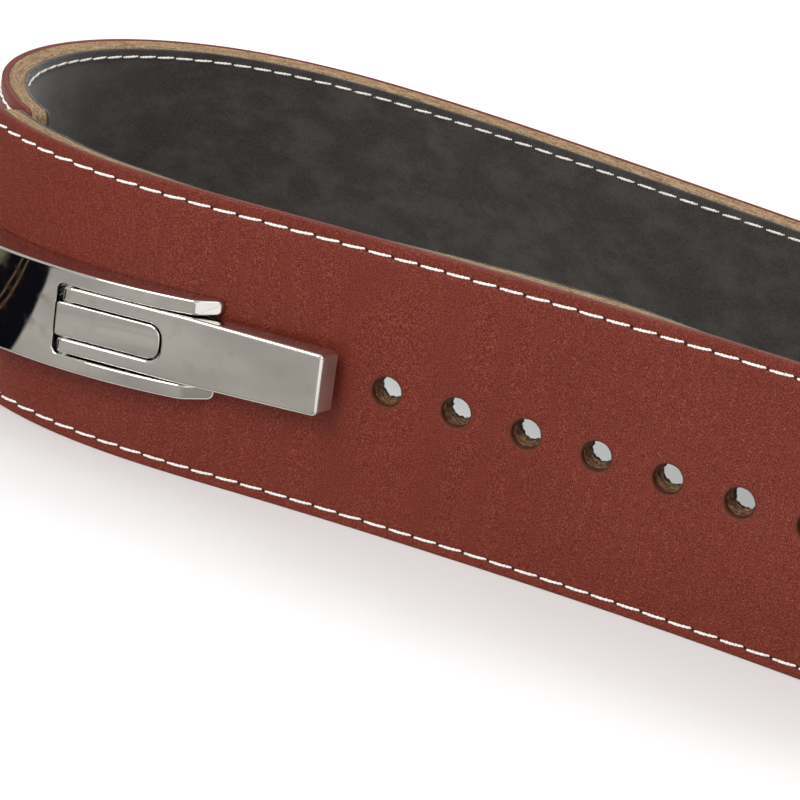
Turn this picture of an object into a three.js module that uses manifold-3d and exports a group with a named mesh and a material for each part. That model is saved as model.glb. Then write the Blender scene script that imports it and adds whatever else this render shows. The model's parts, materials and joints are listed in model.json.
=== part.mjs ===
// A laminated leather weightlifting belt, fastened into a loop and standing on its lower edge.
// Millimetres, +Z up. The buckle and the row of holes face -Y, and the lever points to +X.
import * as THREE from 'three';
import { mergeVertices } from 'three/addons/utils/BufferGeometryUtils.js';
import Module from 'manifold-3d';

const wasm = await Module();
wasm.setup();

// Strap: three layers of leather, once round the waist with a short overlap
const STRAP_WIDTH = 102;
const LOOP_LENGTH = 1120;
const FACE_THICKNESS = 2.6;
const CORE_THICKNESS = 5.4;
const LINING_THICKNESS = 1.4;
const SKIN_SETBACK = 0.4;
const END_CORNER_RADIUS = 4;
const OVERLAP_LENGTH = 30;
const OVERLAP_CLEARANCE = 0.8;
const TAIL_OVERLAP = 5;
const STEP_IN_LENGTH = 300;
const STRAP_STEP = 11;
const FACE_ROW_COUNT = 121;
const PIECE_GAP = 0.3;

// Holes, in one row along the middle of the strap
const HOLE_DIAMETER = 10;
const HOLE_PITCH = 25;
const HOLES_UNDER_LEVER = 5;
const OPEN_HOLES = 8;
const HOLE_SIDES = 16;

// Buckle: lengths run along the lever from the closed end of the slot
const SLOT_END_TO_FIRST_HOLE = 117.5;
const LEVER_TURN_DEG = 2.6;
const LEVER_DROP = 4.4;
const ROOT_HEIGHT = 11.3;
const TIP_HEIGHT = 12.7;
const RUNNING_GAP = 0.5;

const FRAME_WIDTH = 36;
const SLOT_WIDTH = 25.2;
const SLOT_CORNER_RADIUS = 2.5;
const ARM_LENGTH = 50.5;
const ARM_RAMP_LENGTH = 8.4;
const ARM_NOSE_HEIGHT = 1.5;
const HEEL_LENGTH = 30;
const HEEL_SLOPE_LENGTH = 9;
const FRAME_ARC_RADIUS = 170;
const FRAME_CROWN_AT = 22;
const FRAME_CROWN_RISE = 0.8;

const HANDLE_LENGTH = 102.6;
const HANDLE_TIP_WIDTH = 22;
const HANDLE_THICKNESS = 5.6;
const TIP_THICKNESS = 8;
const TIP_SLANT = 2.6;
const TIP_CORNER_RADIUS = 2;

const PAD_LENGTH = 40.5;
const PAD_WIDTH = 12.2;
const PAD_CORNER_RADIUS = 4.5;

const BASE_THICKNESS = 2.2;
const BASE_OVERHANG = 6;
const BOSS_DIAMETER = 8.6;
const BOSS_DEPTH = 5;
const PIN_DIAMETER = 4;
const PIN_SETBACK = 4.2;
const PIN_LENGTH = 32;
const PIN_CLEARANCE = 0.35;
const PIN_SIDES = 16;

const SCREW_SHANK_DIAMETER = 5;
const SCREW_HEAD_DIAMETER = 17;
const SCREW_HEAD_THICKNESS = 1.8;
const SCREW_HOLES = [-4, -3];

// The hook that the frame's left end reaches into the tail with
const HOOK_ARM_WIDTH = 16;
const HOOK_THICKNESS = 3.2;
const PRONG_WIDTH = 6;
const PRONG_LENGTH = 4.5;
const PRONG_GRIP = 6.5;
const HOOK_PAST_END = 12;

const STRAP_THICKNESS = FACE_THICKNESS + CORE_THICKNESS + LINING_THICKNESS + 2 * PIECE_GAP;
const STRAP_MIDDLE = STRAP_WIDTH / 2;
const PIN_HOLE_DIAMETER = PIN_DIAMETER + 2 * PIN_CLEARANCE;
const HANDLE_ROOT_WIDTH = SLOT_WIDTH - 2 * RUNNING_GAP;
const OUTER_END = -(SLOT_END_TO_FIRST_HOLE + HEEL_LENGTH + OVERLAP_LENGTH);
const TAIL_END = LOOP_LENGTH + OUTER_END + TAIL_OVERLAP;
const UP = new THREE.Vector3(0, 0, 1);

// How the outer face bends, seen from above, from the first open hole towards +X and round.
// share: part of the loop's length; turning: degrees that a whole loop at this bend would turn.
const BENDS = [
  { share: 0.000, turning: -30 },
  { share: 0.040, turning: -45 },
  { share: 0.080, turning: -55 },
  { share: 0.130, turning: -65 },
  { share: 0.170, turning: 545 },
  { share: 0.200, turning: 1095 },
  { share: 0.270, turning: 1095 },
  { share: 0.340, turning: 245 },
  { share: 0.460, turning: -10 },
  { share: 0.580, turning: 85 },
  { share: 0.660, turning: 680 },
  { share: 0.780, turning: 680 },
  { share: 0.830, turning: 565 },
  { share: 0.865, turning: 555 },
  { share: 0.900, turning: 440 },
  { share: 0.935, turning: 170 },
  { share: 0.960, turning: -50 },
  { share: 0.985, turning: -65 },
  { share: 1.000, turning: -30 },
];
const HIDDEN_FROM = 0.14;
const HIDDEN_TO = 0.82;
const CURVE_STEPS = 2000;

// Value at x of a table of [x, y] pairs, straight between its rows
function lookUp(rows, x) {
  if (x <= rows[0][0]) {
    return rows[0][1];
  }
  for (let i = 1; i < rows.length; i += 1) {
    if (x <= rows[i][0]) {
      const part = (x - rows[i - 1][0]) / (rows[i][0] - rows[i - 1][0]);
      return rows[i - 1][1] + part * (rows[i][1] - rows[i - 1][1]);
    }
  }
  return rows[rows.length - 1][1];
}

function smoothStep(from, to, x) {
  const part = Math.min(1, Math.max(0, (x - from) / (to - from)));
  return part * part * (3 - 2 * part);
}

// The outer face as points and headings at even steps; what is missing from a full turn and
// from a closed curve is spread over the hidden stretch
function makeLoop() {
  const rows = BENDS.map((bend) => [bend.share, bend.turning]);
  const shares = Array.from({ length: CURVE_STEPS }, (_, i) => (i + 0.5) / CURVE_STEPS);
  const isHidden = (share) => share > HIDDEN_FROM && share < HIDDEN_TO;
  const turningOf = (share) => lookUp(rows, share) / CURVE_STEPS;
  const total = (list) => list.reduce((sum, share) => sum + turningOf(share), 0);
  const seenTurn = total(shares.filter((share) => !isHidden(share)));
  const hiddenTurn = total(shares.filter(isHidden));
  const stretch = (360 - seenTurn) / hiddenTurn;
  const step = LOOP_LENGTH / CURVE_STEPS;
  const nodes = [{ x: 0, y: 0, heading: 0 }];
  for (const share of shares) {
    const last = nodes[nodes.length - 1];
    const turn = turningOf(share) * (isHidden(share) ? stretch : 1);
    const middle = THREE.MathUtils.degToRad(last.heading + turn / 2);
    nodes.push({
      x: last.x + step * Math.cos(middle),
      y: last.y + step * Math.sin(middle),
      heading: last.heading + turn,
    });
  }
  const gap = nodes[CURVE_STEPS];
  return nodes.map((node, i) => {
    const shift = smoothStep(HIDDEN_FROM, HIDDEN_TO, i / CURVE_STEPS);
    return { x: node.x - gap.x * shift, y: node.y - gap.y * shift, heading: node.heading };
  });
}
const LOOP = makeLoop();

// Point on the outer face, the way along it and the way out of it, at a distance from the
// first open hole
function outerFace(distance) {
  const laps = distance / LOOP_LENGTH;
  const place = (laps - Math.floor(laps)) * CURVE_STEPS;
  const i = Math.min(CURVE_STEPS - 1, Math.floor(place));
  const part = place - i;
  const mix = (key) => LOOP[i][key] * (1 - part) + LOOP[i + 1][key] * part;
  const before = LOOP[Math.max(0, i - 1)];
  const after = LOOP[Math.min(CURVE_STEPS, i + 2)];
  const along = new THREE.Vector2(after.x - before.x, after.y - before.y).normalize();
  return {
    point: new THREE.Vector2(mix('x'), mix('y')),
    along,
    out: new THREE.Vector2(along.y, -along.x),
  };
}

// Point at a height above the outer face; below it the height is negative
function overFace(distance, height) {
  const { point, out } = outerFace(distance);
  return point.clone().addScaledVector(out, height);
}

// How far the strap has stepped in to pass under its own outer end
function stepIn(distance) {
  const done = LOOP_LENGTH + OUTER_END - OVERLAP_LENGTH;
  const share = smoothStep(done - STEP_IN_LENGTH, done, distance);
  return share * (STRAP_THICKNESS + OVERLAP_CLEARANCE);
}

function toSolid(geometry) {
  const bare = geometry.index ? geometry.toNonIndexed() : geometry.clone();
  bare.deleteAttribute('normal');
  bare.deleteAttribute('uv');
  const merged = mergeVertices(bare, 1e-4);
  return new wasm.Manifold(new wasm.Mesh({
    numProp: 3,
    vertProperties: new Float32Array(merged.attributes.position.array),
    triVerts: new Uint32Array(merged.index.array),
  }));
}

function toMesh(name, solid, finish) {
  const result = solid.getMesh();
  const geometry = new THREE.BufferGeometry();
  geometry.setAttribute('position', new THREE.BufferAttribute(new Float32Array(result.vertProperties), 3));
  geometry.setIndex(new THREE.BufferAttribute(new Uint32Array(result.triVerts), 1));
  geometry.computeVertexNormals();
  const mesh = new THREE.Mesh(geometry, new THREE.MeshStandardMaterial(finish));
  mesh.name = name;
  return mesh;
}

// Solid whose outline is drawn from above, between two heights
function upright(outline, bottom, top) {
  const geometry = new THREE.ExtrudeGeometry(new THREE.Shape(outline), {
    depth: top - bottom,
    bevelEnabled: false,
  });
  geometry.translate(0, 0, bottom);
  return toSolid(geometry);
}

// Round bar between two points in space
function bar(from, to, diameter, sides) {
  const axis = new THREE.Vector3().subVectors(to, from);
  const geometry = new THREE.CylinderGeometry(diameter / 2, diameter / 2, axis.length(), sides);
  const turn = new THREE.Quaternion().setFromUnitVectors(new THREE.Vector3(0, 1, 0), axis.clone().normalize());
  geometry.applyQuaternion(turn);
  geometry.translate(...new THREE.Vector3().addVectors(from, to).multiplyScalar(0.5).toArray());
  return toSolid(geometry);
}

function inSpace(point, z) {
  return new THREE.Vector3(point.x, point.y, z);
}

// Round bar that stands square to the strap's face, between two heights above that face
function barThroughStrap(distance, low, high, z, diameter, sides) {
  return bar(inSpace(overFace(distance, low), z), inSpace(overFace(distance, high), z), diameter, sides);
}

// Rectangle with its own corner radius at either end, drawn in the lever's front view
function roundedBar(left, right, halfLeft, halfRight, radiusLeft, radiusRight) {
  const shape = new THREE.Shape();
  shape.moveTo(left + radiusLeft, -halfLeft);
  shape.lineTo(right - radiusRight, -halfRight);
  shape.absarc(right - radiusRight, -halfRight + radiusRight, radiusRight, -Math.PI / 2, 0, false);
  shape.absarc(right - radiusRight, halfRight - radiusRight, radiusRight, 0, Math.PI / 2, false);
  shape.lineTo(left + radiusLeft, halfLeft);
  shape.absarc(left + radiusLeft, halfLeft - radiusLeft, radiusLeft, Math.PI / 2, Math.PI, false);
  shape.absarc(left + radiusLeft, -halfLeft + radiusLeft, radiusLeft, Math.PI, Math.PI * 1.5, false);
  return shape;
}

// The strap

const HOLE_DISTANCES = Array.from(
  { length: HOLES_UNDER_LEVER + OPEN_HOLES },
  (_, i) => (i - HOLES_UNDER_LEVER) * HOLE_PITCH,
);
const HOOK_DISTANCE = OUTER_END - HOOK_PAST_END - PRONG_LENGTH / 2;
const HOOK_LEVEL = STRAP_MIDDLE - LEVER_DROP;

// Cuts one corner of a strap end round, between two heights above the outer face; facing is 1
// where the strap runs on to greater distances and -1 where it comes from smaller ones
function cornerCutter(distance, facing, edge, upwards, low, high) {
  const margin = 3;
  const r = END_CORNER_RADIUS;
  const corner = new THREE.Shape();
  corner.moveTo(-margin, -margin);
  corner.lineTo(r, -margin);
  corner.lineTo(r, 0);
  corner.absarc(r, r, r, -Math.PI / 2, -Math.PI, true);
  corner.lineTo(-margin, r);
  const geometry = new THREE.ExtrudeGeometry(corner, {
    depth: high - low,
    bevelEnabled: false,
    curveSegments: 8,
  });
  const sense = facing * upwards;
  geometry.translate(0, 0, sense > 0 ? low : -high);
  const { point, along, out } = outerFace(distance);
  const matrix = new THREE.Matrix4().makeBasis(
    new THREE.Vector3(along.x * facing, along.y * facing, 0),
    new THREE.Vector3(0, 0, upwards),
    new THREE.Vector3(out.x * sense, out.y * sense, 0),
  );
  matrix.setPosition(point.x, point.y, edge);
  geometry.applyMatrix4(matrix);
  return toSolid(geometry);
}

// One layer of the strap between two depths below the outer face
function strapLayer(depthOut, depthIn, setback) {
  const steps = Math.round((TAIL_END - OUTER_END) / STRAP_STEP);
  const distances = Array.from(
    { length: steps + 1 },
    (_, i) => OUTER_END + (TAIL_END - OUTER_END) * i / steps,
  );
  const side = (depth) => distances.map((distance) => overFace(distance, -depth - stepIn(distance)));
  const outline = [...side(depthOut), ...side(depthIn).reverse()];
  let layer = upright(outline, setback, STRAP_WIDTH - setback);
  const below = -STRAP_THICKNESS - 1;
  for (const distance of HOLE_DISTANCES) {
    layer = layer.subtract(barThroughStrap(distance, below, 1, STRAP_MIDDLE, HOLE_DIAMETER, HOLE_SIDES));
  }
  layer = layer.subtract(barThroughStrap(HOOK_DISTANCE, 3 * below, 1, HOOK_LEVEL, HOLE_DIAMETER, HOLE_SIDES));
  const parting = -STRAP_THICKNESS - OVERLAP_CLEARANCE / 2;
  const margin = STRAP_THICKNESS / 2;
  const ends = [
    { distance: OUTER_END, facing: 1, low: parting, high: margin },
    { distance: TAIL_END, facing: -1, low: 2 * parting - margin, high: parting },
  ];
  for (const { distance, facing, low, high } of ends) {
    layer = layer.subtract(cornerCutter(distance, facing, setback, 1, low, high));
    layer = layer.subtract(cornerCutter(distance, facing, STRAP_WIDTH - setback, -1, low, high));
  }
  return layer;
}

// The lever's own frame: u runs along the lever from the slot's closed end, v out of its top
// face, and w across it

const ROOT_POINT = overFace(-SLOT_END_TO_FIRST_HOLE + PIN_SETBACK, ROOT_HEIGHT);
const TIP_POINT = overFace(-SLOT_END_TO_FIRST_HOLE + HANDLE_LENGTH, TIP_HEIGHT);
const LEVER_WAY = new THREE.Vector2().subVectors(TIP_POINT, ROOT_POINT).normalize();
const LEVER_OUT = new THREE.Vector2(LEVER_WAY.y, -LEVER_WAY.x);
const LEVER_ORIGIN = ROOT_POINT.clone().addScaledVector(LEVER_WAY, -PIN_SETBACK);
const LEVER_LEVEL = STRAP_MIDDLE - LEVER_DROP;

function leverPlan(u, v) {
  return LEVER_ORIGIN.clone().addScaledVector(LEVER_WAY, u).addScaledVector(LEVER_OUT, v);
}

// The leather's face in the lever's frame, as rows of u and v
const FACE_ROWS = Array.from({ length: FACE_ROW_COUNT }, (_, i) => {
  const distance = OUTER_END - STRAP_THICKNESS + i * (STRAP_STEP / 6);
  const from = new THREE.Vector2().subVectors(overFace(distance, 0), LEVER_ORIGIN);
  return [from.dot(LEVER_WAY), from.dot(LEVER_OUT)];
});

function faceUnder(u) {
  return lookUp(FACE_ROWS, u);
}

const FRONT_TURN = THREE.MathUtils.degToRad(LEVER_TURN_DEG);
const ALONG_LEVER = new THREE.Vector3(LEVER_WAY.x, LEVER_WAY.y, 0);
const OUT_OF_LEVER = new THREE.Vector3(LEVER_OUT.x, LEVER_OUT.y, 0);
const FRONT_ALONG = ALONG_LEVER.clone().applyAxisAngle(OUT_OF_LEVER, FRONT_TURN);
const FRONT_ACROSS = UP.clone().applyAxisAngle(OUT_OF_LEVER, FRONT_TURN);

function leverSpace(u, v, w) {
  return inSpace(LEVER_ORIGIN, LEVER_LEVEL)
    .addScaledVector(FRONT_ALONG, u)
    .addScaledVector(OUT_OF_LEVER, v)
    .addScaledVector(FRONT_ACROSS, w);
}

// Solid whose outline is drawn in the lever's front view
function frontCut(shape) {
  const reach = 3 * STRAP_THICKNESS;
  const geometry = new THREE.ExtrudeGeometry(shape, {
    depth: 2 * reach,
    bevelEnabled: false,
    curveSegments: 6,
  });
  geometry.translate(0, 0, -reach);
  const matrix = new THREE.Matrix4().makeBasis(FRONT_ALONG, FRONT_ACROSS, OUT_OF_LEVER);
  matrix.setPosition(leverSpace(0, 0, 0));
  geometry.applyMatrix4(matrix);
  return toSolid(geometry);
}

// Solid whose outline is drawn from above in the lever's frame, over the strap's whole width
function leverSlab(rows) {
  return upright(rows.map(([u, v]) => leverPlan(u, v)), 0, STRAP_WIDTH);
}

function steps(from, to, count) {
  return Array.from({ length: count + 1 }, (_, i) => from + (to - from) * i / count);
}

function pinBar(reach, diameter) {
  const half = reach / 2;
  const depth = -HANDLE_THICKNESS / 2;
  return bar(leverSpace(PIN_SETBACK, depth, -half), leverSpace(PIN_SETBACK, depth, half), diameter, PIN_SIDES);
}

function frameTop(u) {
  return FRAME_CROWN_RISE - (u - FRAME_CROWN_AT) ** 2 / (2 * FRAME_ARC_RADIUS);
}

// Plain hook: an arm over the strap's outer end and a prong into the tail's hole
function hook() {
  const heel = OUTER_END + OVERLAP_LENGTH + HEEL_SLOPE_LENGTH;
  const far = OUTER_END - HOOK_PAST_END;
  const tip = far - PRONG_LENGTH;
  const armTop = PIECE_GAP + HOOK_THICKNESS;
  const prongEnd = -(STRAP_THICKNESS + OVERLAP_CLEARANCE + PRONG_GRIP);
  const arm = [
    ...steps(heel, tip, 6).map((distance) => overFace(distance, PIECE_GAP)),
    ...steps(tip, heel, 6).map((distance) => overFace(distance, armTop)),
  ];
  const prong = [
    overFace(far, armTop),
    overFace(tip, armTop),
    overFace(tip, prongEnd),
    overFace(far, prongEnd),
  ];
  const flat = (outline, width) => upright(outline, HOOK_LEVEL - width / 2, HOOK_LEVEL + width / 2);
  return flat(arm.reverse(), HOOK_ARM_WIDTH).add(flat(prong, PRONG_WIDTH));
}

function buckleFrame() {
  const heelTop = -HEEL_LENGTH;
  const heelFoot = heelTop - HEEL_SLOPE_LENGTH;
  const nose = ARM_LENGTH + ARM_RAMP_LENGTH;
  const under = (u) => [u, faceUnder(u) + PIECE_GAP];
  const outline = [
    ...steps(heelFoot, nose, 16).map(under),
    [nose, faceUnder(nose) + ARM_NOSE_HEIGHT],
    ...steps(ARM_LENGTH, heelTop, 14).map((u) => [u, frameTop(u)]),
  ];
  const half = FRAME_WIDTH / 2;
  const front = roundedBar(heelFoot - 1, nose + 1, half, half, 1, 1);
  const slot = roundedBar(0, nose + SLOT_WIDTH, SLOT_WIDTH / 2, SLOT_WIDTH / 2, SLOT_CORNER_RADIUS, 1);
  return leverSlab(outline)
    .intersect(frontCut(front))
    .subtract(frontCut(slot))
    .subtract(pinBar(PIN_LENGTH + 2 * PIECE_GAP, PIN_HOLE_DIAMETER))
    .add(hook());
}

function basePlate() {
  const left = RUNNING_GAP;
  const right = ARM_LENGTH + BASE_OVERHANG;
  const outline = [
    ...steps(left, right, 10).map((u) => [u, faceUnder(u) + PIECE_GAP]),
    ...steps(right, left, 10).map((u) => [u, faceUnder(u) + PIECE_GAP + BASE_THICKNESS]),
  ];
  const half = SLOT_WIDTH / 2 - RUNNING_GAP;
  const front = roundedBar(left, right, half, half, SLOT_CORNER_RADIUS, SLOT_CORNER_RADIUS);
  let plate = leverSlab(outline).intersect(frontCut(front));
  const seat = PIECE_GAP + BASE_THICKNESS / 2;
  for (const hole of SCREW_HOLES) {
    const distance = hole * HOLE_PITCH;
    plate = plate.add(barThroughStrap(distance, -BOSS_DEPTH, seat, STRAP_MIDDLE, BOSS_DIAMETER, PIN_SIDES));
  }
  for (const hole of SCREW_HOLES) {
    const distance = hole * HOLE_PITCH;
    const bore = SCREW_SHANK_DIAMETER + 2 * PIECE_GAP;
    const top = 2 * BASE_THICKNESS;
    const drilled = barThroughStrap(distance, -BOSS_DEPTH - 1, top, STRAP_MIDDLE, bore, PIN_SIDES);
    plate = plate.subtract(drilled);
  }
  return plate;
}

function centrePad() {
  const left = 2 * PIECE_GAP;
  const rise = PIECE_GAP + BASE_THICKNESS + PIECE_GAP;
  const outline = [
    ...steps(left, PAD_LENGTH, 8).map((u) => [u, faceUnder(u) + rise]),
    [PAD_LENGTH, 0],
    [left, 0],
  ];
  const half = PAD_WIDTH / 2;
  const front = roundedBar(left - 1, PAD_LENGTH, half, half, 1, PAD_CORNER_RADIUS);
  return leverSlab(outline)
    .intersect(frontCut(front))
    .subtract(pinBar(FRAME_WIDTH, PIN_HOLE_DIAMETER));
}

/**
 * Adds a rounded corner to an outline.
 *
 * quarter says where the arc starts, in quarter turns from the direction of x.
 */
function addCorner(outline, x, y, radius, quarter) {
  outline.absarc(x, y, radius, quarter * Math.PI / 2, (quarter + 1) * Math.PI / 2, false);
}

function leverHandle() {
  const rootRadius = HANDLE_THICKNESS / 2;
  const round = steps(Math.PI * 1.5, Math.PI / 2, 8).map((angle) => [
    PIN_SETBACK + rootRadius * Math.cos(angle),
    -rootRadius + rootRadius * Math.sin(angle),
  ]);
  const thickFrom = ARM_LENGTH + BASE_OVERHANG;
  const topEnd = HANDLE_LENGTH - TIP_SLANT;
  const tipRound = steps(Math.PI / 2, 0, 4).map((angle) => [
    topEnd - TIP_CORNER_RADIUS + TIP_CORNER_RADIUS * Math.cos(angle),
    -TIP_CORNER_RADIUS + TIP_CORNER_RADIUS * Math.sin(angle),
  ]);
  const outline = [
    ...round,
    ...tipRound,
    [HANDLE_LENGTH, -TIP_THICKNESS + TIP_CORNER_RADIUS / 2],
    [HANDLE_LENGTH - TIP_CORNER_RADIUS / 2, -TIP_THICKNESS],
    [thickFrom + TIP_THICKNESS, -TIP_THICKNESS],
    [thickFrom, -HANDLE_THICKNESS],
  ];
  const rootHalf = HANDLE_ROOT_WIDTH / 2;
  const tipHalf = HANDLE_TIP_WIDTH / 2;
  const left = PIN_SETBACK - rootRadius;
  const front = new THREE.Shape();
  front.moveTo(left + SLOT_CORNER_RADIUS, -rootHalf);
  front.lineTo(ARM_LENGTH, -rootHalf);
  front.lineTo(HANDLE_LENGTH - TIP_CORNER_RADIUS, -tipHalf);
  addCorner(front, HANDLE_LENGTH - TIP_CORNER_RADIUS, -tipHalf + TIP_CORNER_RADIUS, TIP_CORNER_RADIUS, -1);
  addCorner(front, HANDLE_LENGTH - TIP_CORNER_RADIUS, tipHalf - TIP_CORNER_RADIUS, TIP_CORNER_RADIUS, 0);
  front.lineTo(ARM_LENGTH, rootHalf);
  front.lineTo(left + SLOT_CORNER_RADIUS, rootHalf);
  addCorner(front, left + SLOT_CORNER_RADIUS, rootHalf - SLOT_CORNER_RADIUS, SLOT_CORNER_RADIUS, 1);
  addCorner(front, left + SLOT_CORNER_RADIUS, -rootHalf + SLOT_CORNER_RADIUS, SLOT_CORNER_RADIUS, 2);
  const forkHalf = PAD_WIDTH / 2 + RUNNING_GAP;
  const forkRadius = PAD_CORNER_RADIUS + RUNNING_GAP;
  const fork = roundedBar(-PAD_WIDTH, PAD_LENGTH + RUNNING_GAP, forkHalf, forkHalf, 1, forkRadius);
  return leverSlab(outline)
    .intersect(frontCut(front))
    .subtract(frontCut(fork))
    .subtract(pinBar(FRAME_WIDTH, PIN_HOLE_DIAMETER));
}

function screw(hole) {
  const distance = hole * HOLE_PITCH;
  const headTop = -STRAP_THICKNESS - 2 * PIECE_GAP;
  const headEnd = headTop - SCREW_HEAD_THICKNESS;
  const shankEnd = PIECE_GAP + BASE_THICKNESS - PIECE_GAP;
  const head = barThroughStrap(distance, headEnd, headTop, STRAP_MIDDLE, SCREW_HEAD_DIAMETER, 24);
  const thickness = SCREW_SHANK_DIAMETER;
  const shank = barThroughStrap(distance, headEnd + 1, shankEnd, STRAP_MIDDLE, thickness, PIN_SIDES);
  return head.add(shank);
}

const RED_LEATHER = { color: 0x7c342e, roughness: 0.55, metalness: 0 };
const TAN_LEATHER = { color: 0x9a7a55, roughness: 0.8, metalness: 0 };
const DARK_SUEDE = { color: 0x3d3530, roughness: 0.95, metalness: 0 };
const CHROME = { color: 0xc8c5c0, roughness: 0.12, metalness: 1 };
const STEEL = { color: 0x8f8d8a, roughness: 0.35, metalness: 1 };

const coreOuter = FACE_THICKNESS + PIECE_GAP;
const liningOuter = coreOuter + CORE_THICKNESS + PIECE_GAP;

const belt = new THREE.Group();
belt.add(toMesh('face_leather', strapLayer(0, FACE_THICKNESS, SKIN_SETBACK), RED_LEATHER));
belt.add(toMesh('core_leather', strapLayer(coreOuter, coreOuter + CORE_THICKNESS, 0), TAN_LEATHER));
belt.add(toMesh('suede_lining', strapLayer(liningOuter, STRAP_THICKNESS, SKIN_SETBACK), DARK_SUEDE));
belt.add(toMesh('buckle_frame', buckleFrame(), CHROME));
belt.add(toMesh('base_plate', basePlate(), STEEL));
belt.add(toMesh('centre_pad', centrePad(), CHROME));
belt.add(toMesh('lever_handle', leverHandle(), CHROME));
belt.add(toMesh('hinge_pin', pinBar(PIN_LENGTH, PIN_DIAMETER), STEEL));
SCREW_HOLES.forEach((hole, i) => belt.add(toMesh(`screw_${i + 1}`, screw(hole), STEEL)));

// The belt stands with the middle of its footprint on the origin
const extent = new THREE.Box3().setFromObject(belt);
const middle = extent.getCenter(new THREE.Vector3());
belt.position.set(-middle.x, -middle.y, -extent.min.z);

export default belt;
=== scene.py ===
"""Looks of a laminated leather weightlifting belt with a lever buckle, built round its frame.

Sizes are in millimetres and turn into metres where a mesh is made. Distances run along the
strap's outer face from the first open hole, heights are above that face and depths below it.
"""
import json
import logging
import math
from dataclasses import dataclass, field
from enum import Enum
from typing import Callable, NamedTuple, Sequence

import bmesh
import bpy
import numpy as np
from mathutils import Matrix, Vector


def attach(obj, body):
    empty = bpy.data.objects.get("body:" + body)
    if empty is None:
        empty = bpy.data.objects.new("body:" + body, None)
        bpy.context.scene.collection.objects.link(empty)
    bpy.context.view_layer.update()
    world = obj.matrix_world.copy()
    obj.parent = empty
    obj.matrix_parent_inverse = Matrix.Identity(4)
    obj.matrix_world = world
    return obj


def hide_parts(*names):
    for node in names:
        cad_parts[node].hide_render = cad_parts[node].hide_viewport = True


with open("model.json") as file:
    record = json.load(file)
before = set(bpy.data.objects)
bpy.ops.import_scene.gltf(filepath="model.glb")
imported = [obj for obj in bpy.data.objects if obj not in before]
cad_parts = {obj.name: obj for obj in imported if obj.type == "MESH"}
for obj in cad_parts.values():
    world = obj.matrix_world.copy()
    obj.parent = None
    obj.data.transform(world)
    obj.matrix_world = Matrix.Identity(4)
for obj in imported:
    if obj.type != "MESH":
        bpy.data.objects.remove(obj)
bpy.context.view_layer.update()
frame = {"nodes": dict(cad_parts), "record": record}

MM = 0.001
SEED = 7
LOG = logging.getLogger("belt")
Place = Callable[[np.ndarray, np.ndarray, np.ndarray], np.ndarray]
Profile = Callable[[np.ndarray], np.ndarray]


class Body(Enum):
    """The bodies of the frame that pieces ride on."""

    BELT = "belt"
    LEVER = "lever"


class Slot(Enum):
    """The record's material slots."""

    RED_LEATHER = "red_leather"
    TAN_LEATHER = "tan_leather"
    DARK_SUEDE = "dark_suede"
    CHROME = "chrome"


class Bend(NamedTuple):
    """How the strap bends at one place.

    share is the part of the loop's length, turning the degrees that a whole loop would turn
    at this bend.
    """

    share: float
    turning: float


BENDS = (
    Bend(0.000, -30), Bend(0.040, -45), Bend(0.080, -55), Bend(0.130, -65),
    Bend(0.170, 545), Bend(0.200, 1095), Bend(0.270, 1095), Bend(0.340, 245),
    Bend(0.460, -10), Bend(0.580, 85), Bend(0.660, 680), Bend(0.780, 680),
    Bend(0.830, 565), Bend(0.865, 555), Bend(0.900, 440), Bend(0.935, 170),
    Bend(0.960, -50), Bend(0.985, -65), Bend(1.000, -30),
)


def smooth_step(low: float, high: float, x: np.ndarray) -> np.ndarray:
    """Gives 0 below low, 1 above high and an easy rise between.

    Args:
        low: Where the rise starts.
        high: Where it ends.
        x: The values.

    Returns:
        One number from 0 to 1 for each value.
    """
    part = np.clip((np.asarray(x, float) - low) / (high - low), 0, 1)
    return part * part * (3 - 2 * part)


def ripple(x: np.ndarray, waves: Sequence[tuple[float, float]]) -> np.ndarray:
    """Adds up sine waves into an uneven line.

    Args:
        x: The places along the line.
        waves: The length and the start of each wave.

    Returns:
        The mean of the waves, from -1 to 1.
    """
    total = sum(np.sin(2 * np.pi * (x / length + start)) for length, start in waves)
    return total / len(waves)


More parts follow.
